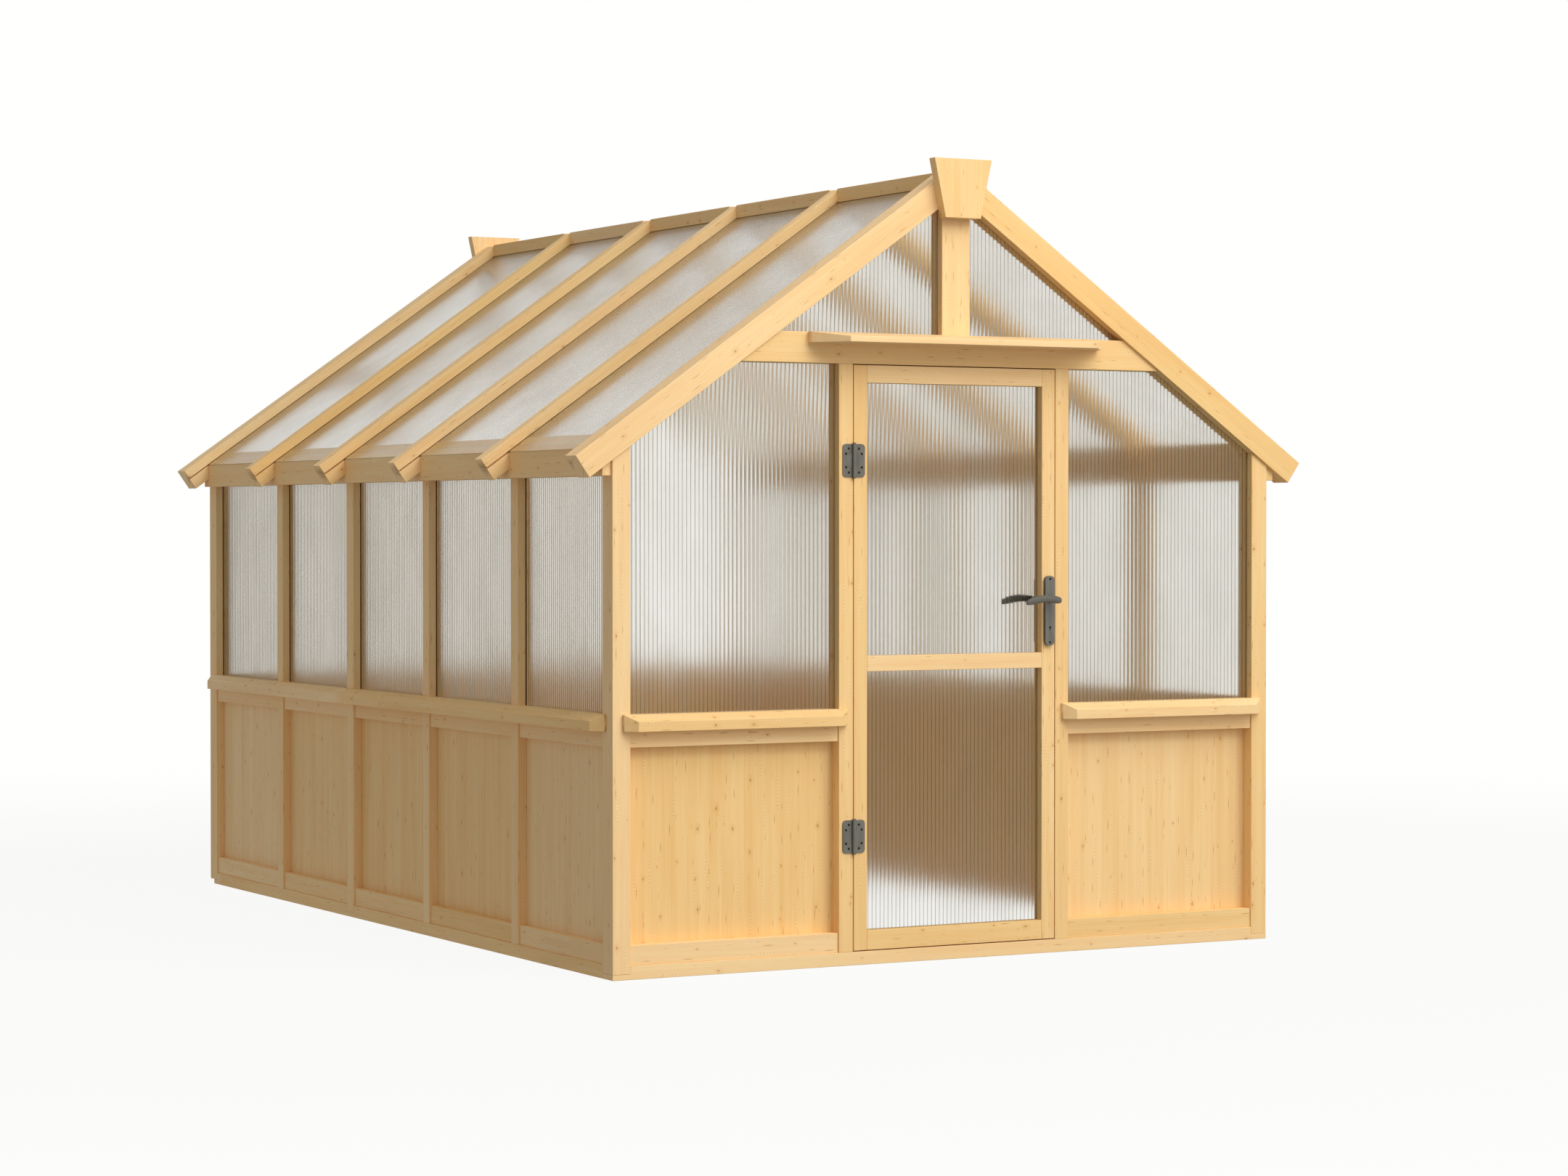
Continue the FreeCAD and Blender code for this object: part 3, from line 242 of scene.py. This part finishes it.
class Nodes:
    """The node tree of a material or world, with short calls that add and join nodes."""

    def __init__(self, owner, output="ShaderNodeOutputMaterial"):
        owner.use_nodes = True
        self.owner = owner
        self.tree = owner.node_tree
        self.tree.nodes.clear()
        self.output = self.add(output)

    def add(self, kind, inputs=None, **settings):
        node = self.tree.nodes.new(kind)
        for key, value in settings.items():
            setattr(node, key, value)
        for key, value in (inputs or {}).items():
            self.join(value, node.inputs[key])
        return node

    def join(self, value, socket):
        if isinstance(value, bpy.types.NodeSocket):
            self.tree.links.new(value, socket)
        else:
            socket.default_value = value

    def attribute(self, name, output):
        return self.add("ShaderNodeAttribute", attribute_name=name).outputs[output]

    def place(self):
        return self.add("ShaderNodeTexCoord").outputs["Object"]

    def math(self, operation, first, second=0.0, third=0.0, clamp=False):
        node = self.add("ShaderNodeMath", operation=operation, use_clamp=clamp)
        for socket, value in zip(node.inputs, (first, second, third)):
            self.join(value, socket)
        return node.outputs[0]

    def vector(self, operation, first, second=(0.0, 0.0, 0.0)):
        node = self.add("ShaderNodeVectorMath", {0: first, 1: second}, operation=operation)
        return node.outputs["Value" if operation == "LENGTH" else "Vector"]

    def noise(self, place, scale, detail=2.0, roughness=0.5, output="Fac"):
        node = self.add(
            "ShaderNodeTexNoise",
            {
                "Vector": self.vector("MULTIPLY", place, scale),
                "Scale": 1.0,
                "Detail": detail,
                "Roughness": roughness,
            },
        )
        return node.outputs[output]

    def between(self, value, low, high, to_low=0.0, to_high=1.0, smooth=False):
        node = self.add("ShaderNodeMapRange", interpolation_type="SMOOTHSTEP" if smooth else "LINEAR")
        for socket, item in zip(node.inputs, (value, low, high, to_low, to_high)):
            self.join(item, socket)
        return node.outputs[0]

    def mix(self, share, first, second):
        node = self.add("ShaderNodeMix", data_type="RGBA")
        self.join(share, node.inputs["Factor"])
        self.join(first, node.inputs[6])
        self.join(second, node.inputs[7])
        return node.outputs[2]

    def ramp(self, value, stops):
        node = self.add("ShaderNodeValToRGB", {"Fac": value})
        elements = node.color_ramp.elements
        while len(elements) < len(stops):
            elements.new(0.5)
        for element, (place, shade) in zip(elements, stops):
            element.position = place
            element.color = shade
        return node.outputs["Color"]

    def shades(self, value, span, codes):
        """Colour that goes from the first code to the last over a span of the value."""
        return self.ramp(value, [(place, colour(code)) for place, code in zip(span, codes)])

    def scatter(self, place, cell):
        """Way from the nearest of points scattered over a face, and a draw for that point."""
        packed = self.vector("DIVIDE", place, cell)
        points = self.add(
            "ShaderNodeTexVoronoi",
            {"Vector": packed, "Scale": 1.0, "Randomness": 1.0},
            voronoi_dimensions="2D",
        )
        apart = self.vector("MULTIPLY", self.vector("SUBTRACT", packed, points.outputs["Position"]), cell)
        draw = self.add("ShaderNodeSeparateColor", {"Color": points.outputs["Color"]})
        return apart, draw.outputs["Red"]

    def bump(self, height, strength, distance):
        inputs = {"Strength": strength, "Distance": distance, "Height": height}
        return self.add("ShaderNodeBump", inputs).outputs["Normal"]

    def surface(self, inputs):
        return self.add("ShaderNodeBsdfPrincipled", inputs).outputs[0]

    def blend(self, share, first, second):
        return self.add("ShaderNodeMixShader", {0: share, 1: first, 2: second}).outputs[0]

    def shows_backdrop(self):
        """One for the rays that show the background: straight, mirrored or through a sheet."""
        path = self.add("ShaderNodeLightPath").outputs
        mirrored = self.math("MAXIMUM", path["Is Camera Ray"], path["Is Glossy Ray"])
        return self.math("MAXIMUM", mirrored, path["Is Transmission Ray"])

    def finish(self, shader):
        self.tree.links.new(shader, self.output.inputs["Surface"])
        return self.owner


def material_nodes(name):
    return Nodes(bpy.data.materials.new(name))


def stave_grain(n, grain, stave):
    """Grain coordinates that start from another pith in each stave of a glued board."""
    number = n.vector("FLOOR", n.vector("DIVIDE", grain, (stave, stave, LOG_LENGTH)))
    draw = n.add("ShaderNodeTexWhiteNoise", {"Vector": number}, noise_dimensions="3D")
    shift = n.vector("MULTIPLY", draw.outputs["Color"], (PITH_FAR, PITH_FAR, LOG_LENGTH))
    return n.vector("ADD", grain, shift)


def knots(n, face, ragged):
    """Small sound knots, and the halo round each that bends the rings."""
    apart, chance = n.scatter(face, KNOT_CELL)
    away = n.vector("LENGTH", n.vector("MULTIPLY", apart, KNOT_OVAL))
    away = n.math("MULTIPLY", away, n.between(ragged, *NOISE_SPAN, *KNOT_RAGGED))
    size = n.between(chance, PLAIN_SHARE, 1.0, 0.0, KNOT_SIZE)
    there = n.math("GREATER_THAN", size, SMALLEST_KNOT)
    knot = n.between(away, n.math("MULTIPLY", size, KNOT_CORE), size, there, 0.0, smooth=True)
    halo = n.between(away, size, n.math("MULTIPLY", size, HALO_REACH), there, 0.0, smooth=True)
    return knot, halo


def flecks(n, face):
    """Short resin flecks along the grain."""
    apart, chance = n.scatter(face, FLECK_CELL)
    away = n.vector("LENGTH", n.vector("MULTIPLY", apart, FLECK_OVAL))
    size = n.between(chance, PLAIN_SHARE, 1.0, 0.0, FLECK_SIZE)
    there = n.math("GREATER_THAN", size, SMALLEST_FLECK)
    return n.between(away, 0.0, size, there, 0.0, smooth=True)


def ripples(n, face, ragged):
    """Narrow runs of bowed ripples where the saw met the rings flat."""
    apart, chance = n.scatter(face, RIPPLE_CELL)
    way = n.add("ShaderNodeSeparateXYZ", {"Vector": apart}).outputs
    across = way["X"]
    along = way["Y"]
    bow = n.math("MULTIPLY_ADD", n.math("MULTIPLY", across, across), RIPPLE_BOW, along)
    bow = n.math("MULTIPLY_ADD", ragged, RIPPLE_WANDER, bow)
    wave = n.math("SINE", n.math("MULTIPLY", bow, 2 * math.pi / RIPPLE_PITCH))
    there = n.math("GREATER_THAN", chance, PLAIN_SHARE)
    width = n.between(n.math("ABSOLUTE", across), *RIPPLE_WIDTH, there, 0.0, smooth=True)
    length = n.between(n.math("ABSOLUTE", along), *RIPPLE_LENGTH, 1.0, 0.0, smooth=True)
    return n.math("MULTIPLY", n.math("MULTIPLY", width, length), wave)


def growth_rings(n, grain, halo):
    """Rings round the pith, pale in spring wood and dark in summer wood."""
    bend = n.noise(grain, RING_BEND_SCALE, detail=3.0, output="Color")
    bend = n.vector("SUBTRACT", bend, (0.5, 0.5, 0.5))
    moved = n.vector("ADD", grain, n.vector("MULTIPLY", bend, RING_BEND))
    radius = n.vector("LENGTH", n.vector("MULTIPLY", moved, (1.0, 1.0, 0.0)))
    radius = n.math("ADD", radius, n.math("MULTIPLY", halo, RING_ROUND_KNOT))
    turn = n.math("FRACT", n.math("DIVIDE", radius, RING_PITCH))
    return n.ramp(turn, [(place, (depth, depth, depth, 1.0)) for place, depth in RING_STOPS])


def pine(name, stave=0.0):
    """Planed pine: growth rings round a pith beside each timber, fibres, flecks, ripples and small knots.

    A wide board is glued up from staves, each with a pith of its own."""
    n = material_nodes(name)
    grain = n.attribute("grain", "Vector")
    tone = n.attribute("tone", "Fac")
    face = n.attribute("face_grain", "Vector")
    if stave:
        grain = stave_grain(n, grain, stave)
    ragged = n.noise(face, RAGGED_SCALE)
    knot, halo = knots(n, face, ragged)
    fleck = flecks(n, face)
    ripple = ripples(n, face, ragged)
    ring = growth_rings(n, grain, halo)
    fibre = n.noise(grain, FIBRE_SCALE, detail=3.0, roughness=0.6)
    streak = n.noise(grain, STREAK_SCALE, detail=3.0, roughness=0.55)
    patch = n.noise(grain, PATCH_SCALE)

    # Depth of colour, then the marks over it
    depth = n.math("MULTIPLY_ADD", ring, RING_DEPTH, n.between(streak, *WIDE_SPAN, *STREAK_DEPTH))
    depth = n.math("ADD", depth, n.between(patch, *NOISE_SPAN, *PATCH_DEPTH))
    depth = n.math("ADD", depth, n.between(fibre, *NOISE_SPAN, *FIBRE_DEPTH), clamp=True)
    wood = n.ramp(depth, [(place, colour(code)) for place, code in WOOD_STOPS])
    marks = {"ripple crest": ripple, "ripple trough": ripple, "halo": halo, "fleck": fleck, "knot": knot}
    for mark, (share, tint) in MARK_TINTS.items():
        wood = n.mix(n.math("MULTIPLY", marks[mark], share, clamp=True), wood, colour(tint))
    toned = n.add(
        "ShaderNodeHueSaturation",
        {
            "Color": wood,
            "Saturation": n.between(tone, 0.0, 1.0, *TONE_SATURATION),
            "Value": n.between(tone, 0.0, 1.0, *TONE_VALUE),
        },
    )

    relief = n.math("MULTIPLY_ADD", fibre, FIBRE_RELIEF, n.math("MULTIPLY", ring, RING_RELIEF))
    relief = n.math("MULTIPLY_ADD", knot, KNOT_RELIEF, relief)
    surface = n.surface({
        "Base Color": toned.outputs["Color"],
        "Roughness": n.between(fibre, *FIBRE_SPAN, *WOOD_ROUGHNESS),
        "Specular IOR Level": WOOD_SPECULAR,
        "Normal": n.bump(relief, strength=0.3, distance=0.0004),
    })
    return n.finish(surface)


def sheet_plastic(name, plastic):
    """Clear plastic of a ribbed sheet, a little hazy; where its shades are grey, as on the ribs, they are
    painted shade.

    Light on its way into the house passes it straight, so that the inside is lit."""
    n = material_nodes(name)
    haze = n.noise(n.place(), plastic["scale"], detail=plastic["detail"], roughness=0.6)
    surface = n.surface({
        "Base Color": n.shades(haze, WIDE_SPAN, plastic["shades"]),
        "Roughness": n.between(haze, *WIDE_SPAN, *plastic["roughness"]),
        "IOR": plastic["ior"],
        "Transmission Weight": 1.0,
    })
    path = n.add("ShaderNodeLightPath").outputs
    sunlit = n.add("ShaderNodeBsdfTransparent", {"Color": plastic["sunlight"]}).outputs[0]
    skylit = n.add("ShaderNodeBsdfTransparent", {"Color": plastic["skylight"]}).outputs[0]
    seen = n.blend(path["Is Diffuse Ray"], surface, skylit)
    return n.finish(n.blend(path["Is Shadow Ray"], seen, sunlit))


def satin_grey(name):
    """Grey satin paint on cast and pressed hardware, worn paler on its edges."""
    n = material_nodes(name)
    place = n.place()
    peel = n.noise(place, PEEL_SCALE)
    cloud = n.noise(place, CLOUD_SCALE, detail=3.0)
    worn = n.add("ShaderNodeNewGeometry").outputs["Pointiness"]
    paint = n.shades(cloud, NOISE_SPAN, PAINT_SHADES)
    paint = n.mix(n.between(worn, *WORN_SPAN, 0.0, WORN_SHARE), paint, colour(WORN_SHADE))
    surface = n.surface({
        "Base Color": paint,
        "Roughness": n.between(cloud, *NOISE_SPAN, *PAINT_ROUGHNESS),
        "Metallic": PAINT_METAL,
        "Normal": n.bump(peel, strength=0.15, distance=0.0002),
    })
    return n.finish(surface)


def steel(name, shades, roughness):
    """Steel of screws, bolts and the lock, with fine drawing lines."""
    n = material_nodes(name)
    drawn = n.noise(n.place(), DRAWN_SCALE, detail=3.0)
    surface = n.surface({
        "Base Color": n.shades(drawn, NOISE_SPAN, shades),
        "Roughness": n.between(drawn, *NOISE_SPAN, *roughness),
        "Metallic": 1.0,
        "Normal": n.bump(drawn, strength=0.12, distance=0.0002),
    })
    return n.finish(surface)


def middle_of(points):
    return sum(points, Vector()) / len(points)


def islands(mesh):
    """The separate solids of a mesh, each as a list of its vertices."""
    left = set(mesh.verts)
    found = []
    for start in mesh.verts:
        if start not in left:
            continue
        left.discard(start)
        group = [start]
        for vertex in group:
            for edge in vertex.link_edges:
                other = edge.other_vert(vertex)
                if other in left:
                    left.discard(other)
                    group.append(other)
        found.append(group)
    return found


def welded(node):
    """A copy of a node's mesh with its seams welded and its flat faces whole."""
    mesh = bmesh.new()
    mesh.from_mesh(frame["nodes"][node].data)
    bmesh.ops.remove_doubles(mesh, verts=mesh.verts, dist=WELD)
    bmesh.ops.dissolve_limit(mesh, angle_limit=FLAT_ANGLE, verts=mesh.verts, edges=mesh.edges)
    return mesh


def lengthwise(points):
    """Grain along the frame axis in which a timber is longest."""
    spans = [max(p[i] for p in points) - min(p[i] for p in points) for i in range(3)]
    axis = Vector()
    axis[spans.index(max(spans))] = 1.0
    return axis


def upright(points):
    """Grain straight up, wherever the timber's points lie."""
    return Vector((0.0, 0.0, 1.0))


def up_slope(points):
    """Grain up the slope of the roof that a timber lies on."""
    run = -math.copysign(math.cos(ROOF_PITCH), middle_of(points).x)
    return Vector((run, 0.0, math.sin(ROOF_PITCH)))


def set_grain(mesh, node, along):
    """Grain coordinates on each timber, from its own pith, and on each face of it, across and along."""
    grain = mesh.verts.layers.float_vector.new("grain")
    tone = mesh.verts.layers.float.new("tone")
    face_grain = mesh.loops.layers.uv.new("face_grain")
    for number, group in enumerate(islands(mesh)):
        draw = random.Random(f"{node} {number}")
        points = [vertex.co.copy() for vertex in group]
        middle = middle_of(points)
        axis = along(points)
        side = axis.orthogonal().normalized()
        up = axis.cross(side)
        angle = draw.uniform(0.0, 2 * math.pi)
        away = draw.uniform(PITH_NEAR, PITH_FAR)
        start = draw.uniform(0.0, LOG_LENGTH)
        shade = draw.random()
        for vertex, point in zip(group, points):
            part = point - middle
            vertex[grain] = (
                part.dot(side) + away * math.cos(angle),
                part.dot(up) + away * math.sin(angle),
                part.dot(axis) + start,
            )
            vertex[tone] = shade
        for face in {face for vertex in group for face in vertex.link_faces}:
            across = axis.cross(face.normal)
            if across.length < END_GRAIN:
                across = side
            for loop in face.loops:
                part = loop.vert.co - middle
                loop[face_grain].uv = (part.dot(across) + start, part.dot(axis) + start)


def eased(mesh, width):
    """Rounds the outer edges, but the short ones, by a small arris."""
    edges = [
        edge
        for edge in mesh.edges
        if len(edge.link_faces) == 2
        and edge.is_convex
        and edge.calc_face_angle(0.0) > SHARP_ANGLE
        and edge.calc_length() > SHORTEST_ARRIS
    ]
    bmesh.ops.bevel(
        mesh,
        geom=edges,
        offset=width,
        offset_type="OFFSET",
        segments=ARRIS_STEPS,
        profile=0.5,
        affect="EDGES",
        clamp_overlap=True,
    )


def domed(mesh):
    """Rounds off the flat ends of bars that lie along X, within their length."""
    ends = []
    for face in mesh.faces:
        if len(face.verts) > DOME_SIDES and abs(face.normal.x) > DOME_FACING:
            middle = face.calc_center_median()
            radius = min((vertex.co - middle).length for vertex in face.verts)
            ends.append((middle, face.normal.copy(), radius))
    for middle, outward, radius in ends:
        reach = DOME_SWELL * radius
        for vertex in mesh.verts:
            way = vertex.co - middle
            out = way.dot(outward)
            aside = way - outward * out
            if out < -reach or aside.length > DOME_NEAR * radius:
                continue
            share = DOME_FULL * (1 + out / reach)
            vertex.co = middle + outward * out + aside * math.sqrt(1 - share * share)


def place_piece(name, mesh, materials, node):
    """Makes the object that stands for a node and rides on the node's body."""
    data = bpy.data.meshes.new(name)
    mesh.to_mesh(data)
    mesh.free()
    for material in materials:
        data.materials.append(material)
    piece = bpy.data.objects.new(name, data)
    bpy.context.scene.collection.objects.link(piece)
    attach(piece, frame["nodes"][node]["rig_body"])
    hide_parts(node)
    return piece


def smooth_over(piece):
    """Smooth rounded edges beside flat faces."""
    piece.data.shade_smooth()
    piece.data.set_sharp_from_angle(angle=SMOOTH_ANGLE)
    weighted = piece.modifiers.new("flat faces", "WEIGHTED_NORMAL")
    weighted.keep_sharp = True


def timber(node, material, along=lengthwise):
    """A node's timbers, with eased edges and grain along each."""
    mesh = welded(node)
    set_grain(mesh, node, along)
    eased(mesh, TIMBER_ARRIS)
    smooth_over(place_piece("timber_" + node, mesh, [material], node))


def hardware(node, material, arris=0.0, domes=False):
    """A node's metal pieces, with eased edges or rounded ends where they have them."""
    mesh = welded(node)
    if arris:
        eased(mesh, arris)
    if domes:
        domed(mesh)
    smooth_over(place_piece("metal_" + node, mesh, [material], node))


def chain(points, top):
    """Upper or lower line of a convex pane outline, from its first edge to its last."""
    turn = -1.0 if top else 1.0
    line = []
    for point in sorted(points):
        while len(line) > 1:
            (ax, ay), (bx, by) = line[-2:]
            if turn * ((bx - ax) * (point[1] - ay) - (by - ay) * (point[0] - ax)) > 0:
                break
            line.pop()
        line.append(point)
    if len(line) > 1 and line[0][0] == line[1][0]:
        line.pop(0)
    if len(line) > 1 and line[-1][0] == line[-2][0]:
        line.pop(-1)
    return line


def height_on(line, place):
    """Height of a pane's line at a place across the pane."""
    if place <= line[0][0]:
        return line[0][1]
    for (ax, ay), (bx, by) in zip(line, line[1:]):
        if place <= bx:
            return ay + (by - ay) * (place - ax) / (bx - ax)
    return line[-1][1]


def flute_profile(rib, crown):
    """Places across one flute and the drop of the outer face there: a rib, then the crown of the skin."""
    profile = [(0.0, rib), (RIB_DRAFT, 0.0), (RIB_FOOT - RIB_DRAFT, 0.0)]
    for step in range(CROWN_STEPS):
        share = step / CROWN_STEPS
        rise = crown * (1 - (2 * share - 1) ** 2)
        profile.append((RIB_FOOT + share * (1 - RIB_FOOT), rib - rise))
    return profile


def ribbed_pane(mesh, points, across, along, outward, rib, crown):
    """Adds one ribbed sheet that fills a pane's outline and thickness, its inner face flat."""
    flat = [(round(p.dot(across), 6), round(p.dot(along), 6)) for p in points]
    depths = [p.dot(outward) for p in points]
    low_line = chain(flat, False)
    high_line = chain(flat, True)
    first = min(f[0] for f in flat)
    width = max(f[0] for f in flat) - first
    flutes = max(1, round(width / FLUTE_PITCH))
    profile = flute_profile(rib, crown)
    columns = []
    for flute in range(flutes):
        columns += [(first + (flute + share) * width / flutes, drop) for share, drop in profile]
    columns.append((first + width, rib))
    rows = []
    for place, drop in columns:
        low = height_on(low_line, place)
        high = max(height_on(high_line, place), low + THINNEST_EDGE)
        row = []
        for face in (max(depths) - drop, min(depths)):
            for height in (low, high):
                row.append(mesh.verts.new(across * place + along * height + outward * face))
        rows.append(row)
    for number, (a, b) in enumerate(zip(rows, rows[1:])):
        # Ribs take the greyer rib plastic, painted shade along each rib
        on_rib = number % len(profile) < RIB_FACES
        outer = mesh.faces.new((a[0], b[0], b[1], a[1]))
        outer.material_index = int(on_rib)
        outer.smooth = not on_rib
        mesh.faces.new((a[2], a[3], b[3], b[2]))
        # The sheet's top and bottom ends take the rib plastic too, painted shade for a dark line along
        # them
        for end in (0, 1):
            mesh.faces.new((a[end], a[end + 2], b[end + 2], b[end])).material_index = 1
    # So do its side edges: painted shade for a dark line along them
    for edge in (rows[0], rows[-1]):
        mesh.faces.new((edge[0], edge[1], edge[3], edge[2])).material_index = 1


def glazing(node, across, along, rib, crown):
    """Ribbed sheets in place of a node's plain ones, with their ribs along `along`."""
    across = Vector(across)
    along = Vector(along)
    source = welded(node)
    mesh = bmesh.new()
    for group in islands(source):
        points = [vertex.co.copy() for vertex in group]
        outward = across.cross(along)
        if outward.dot(middle_of(points) - HOUSE_MIDDLE) < 0:
            outward.negate()
        ribbed_pane(mesh, points, across, along, outward, rib, crown)
    source.free()
    bmesh.ops.recalc_face_normals(mesh, faces=mesh.faces)
    piece = place_piece("sheet_" + node, mesh, [SKIN, RIB_SHADE], node)
    piece.data.set_sharp_from_angle(angle=CROWN_ANGLE)


PINE = pine("planed_pine")
PANEL_PINE = pine("glued_pine_panel", STAVE)
SKIN = sheet_plastic("ribbed_sheet_clear", SKIN_PLASTIC)
# The rib material's grey is painted shade for the dark lines along the ribs and the sheet's edges
RIB_SHADE = sheet_plastic("ribbed_sheet_rib_shade", RIB_SHADE_PLASTIC)
GREY = satin_grey("satin_grey_paint")
BRIGHT = steel("drawn_steel", ("A4A39D", "B9B8B2"), (0.3, 0.42))
BLACK = steel("blackened_steel", ("2C2B29", "3B3A37"), (0.4, 0.55))

# Timbers, with the grain along most of them, upright in panels and finials and up the slope in rafters
for name in (
    "base_end_beams", "base_side_beams", "door_canopy", "door_hinge_stile", "door_lock_stile",
    "door_post_left", "door_post_right", "door_rails", "door_stops", "eave_boards",
    "front_corner_posts", "front_cross_beam", "front_king_post", "front_wall_rails",
    "front_wall_sills", "left_wall_plates", "left_wall_rails", "left_wall_sills", "left_wall_studs",
    "rear_corner_posts", "rear_cross_beam", "rear_king_post", "rear_wall_rails", "rear_wall_sill",
    "rear_wall_studs", "ridge_beam", "right_wall_plates", "right_wall_rails", "right_wall_sills",
    "right_wall_studs",
):
    timber(name, PINE)
for name in ("front_wall_panels", "left_wall_panels", "right_wall_panels", "rear_wall_panels"):
    timber(name, PANEL_PINE, upright)
timber("finials", PINE, upright)
for name in ("left_rafters", "right_rafters", "front_gable_rafters", "rear_gable_rafters"):
    timber(name, PINE, up_slope)

# Ribbed sheets, with the ribs upright in the walls and down the slope in the roof
for name in ("left_wall_glazing", "right_wall_glazing"):
    glazing(name, (0, 1, 0), (0, 0, 1), WALL_RIB, WALL_CROWN)
for name in ("front_wall_glazing", "rear_wall_glazing", "door_glazing"):
    glazing(name, (1, 0, 0), (0, 0, 1), WALL_RIB, WALL_CROWN)
for name, side in (("left_roof_glazing", 1), ("right_roof_glazing", -1)):
    slope = (side * math.cos(ROOF_PITCH), 0, math.sin(ROOF_PITCH))
    glazing(name, (0, 1, 0), slope, ROOF_RIB, ROOF_CROWN)

# Door hardware
for name in ("hinge_leaves_door", "hinge_leaves_frame", "hinge_pins"):
    hardware(name, GREY, HINGE_ARRIS)
hardware("handle_plates", GREY, PLATE_ARRIS)
hardware("handle_levers", GREY, domes=True)
for name in ("hinge_screws_door", "hinge_screws_frame"):
    hardware(name, BLACK)
hardware("handle_plate_bolts", BLACK)
for name in ("handle_spindle", "latch_bolt", "dead_bolt", "strike_plate", "lock_case", "lock_follower"):
    hardware(name, BRIGHT)


def in_scene(name, data):
    """A new object of the scene that holds the data."""
    thing = bpy.data.objects.new(name, data)
    bpy.context.scene.collection.objects.link(thing)
    return thing


def white_floor():
    """White floor that keeps the soft shadow near the house and fades into the backdrop."""
    n = material_nodes("white_floor")
    far = n.vector("LENGTH", n.place())
    shadow = n.between(far, SHADOW_NEAR, SHADOW_FAR, SHADOW_SHARE, 0.0, smooth=True)
    plain = n.add("ShaderNodeBsdfDiffuse", {"Color": FLOOR_GREY}).outputs[0]
    white = n.add("ShaderNodeEmission", {"Color": BACKDROP, "Strength": 1.0}).outputs[0]
    glow = n.math("MULTIPLY", n.shows_backdrop(), n.math("SUBTRACT", 1.0, shadow))
    return n.finish(n.blend(glow, plain, white))


def lay_floor():
    mesh = bpy.data.meshes.new("floor")
    corners = ((-1, -1), (1, -1), (1, 1), (-1, 1))
    mesh.from_pydata([(x * FLOOR_HALF, y * FLOOR_HALF, 0.0) for x, y in corners], [], [(0, 1, 2, 3)])
    mesh.materials.append(white_floor())
    floor = in_scene("floor", mesh)
    floor.visible_diffuse = False


def studio_world():
    """White where it is seen, and a dimmer even light on the house."""
    n = Nodes(bpy.data.worlds.new("studio"), "ShaderNodeOutputWorld")
    light = n.add("ShaderNodeBackground", {"Color": SKY_COLOUR, "Strength": SKY_STRENGTH}).outputs[0]
    white = n.add("ShaderNodeBackground", {"Color": BACKDROP, "Strength": 1.0}).outputs[0]
    return n.finish(n.blend(n.shows_backdrop(), light, white))


def hang_lamp(name, lamp, toward):
    """A lamp that shines from a direction and isn't mirrored in the sheets."""
    hung = in_scene(name, lamp)
    hung.rotation_euler = Vector(toward).to_track_quat("Z", "Y").to_euler()
    hung.visible_glossy = False
    hung.visible_transmission = False
    return hung


def sun_lamp():
    lamp = bpy.data.lights.new("studio_key", "SUN")
    lamp.energy = SUN_STRENGTH
    lamp.angle = SUN_SOFTNESS
    toward = (
        math.sin(SUN_AZIMUTH) * math.cos(SUN_HEIGHT),
        -math.cos(SUN_AZIMUTH) * math.cos(SUN_HEIGHT),
        math.sin(SUN_HEIGHT),
    )
    hang_lamp("studio_key", lamp, toward)


def area_lamp(name, place, side, power):
    """Square lamp that faces the front of the house."""
    lamp = bpy.data.lights.new(name, "AREA")
    lamp.shape = "SQUARE"
    lamp.size = side
    lamp.energy = power
    hang_lamp(name, lamp, Vector(place) - Vector(LAMP_AIM)).location = place


def set_camera():
    lens = bpy.data.cameras.new("camera")
    lens.lens = CAMERA_LENS
    lens.sensor_width = SENSOR_WIDTH
    camera = in_scene("camera", lens)
    camera.matrix_world = (
        Matrix.Translation(CAMERA_PLACE)
        @ Matrix.Rotation(CAMERA_YAW, 4, "Z")
        @ Matrix.Rotation(CAMERA_TILT, 4, "X")
    )
    bpy.context.scene.camera = camera


lay_floor()
bpy.context.scene.world = studio_world()
sun_lamp()
area_lamp("studio_softbox", SOFTBOX_PLACE, SOFTBOX_SIDE, SOFTBOX_POWER)
area_lamp("studio_fill", FILL_PLACE, FILL_SIDE, FILL_POWER)
set_camera()
bpy.context.scene.view_settings.view_transform = "Standard"
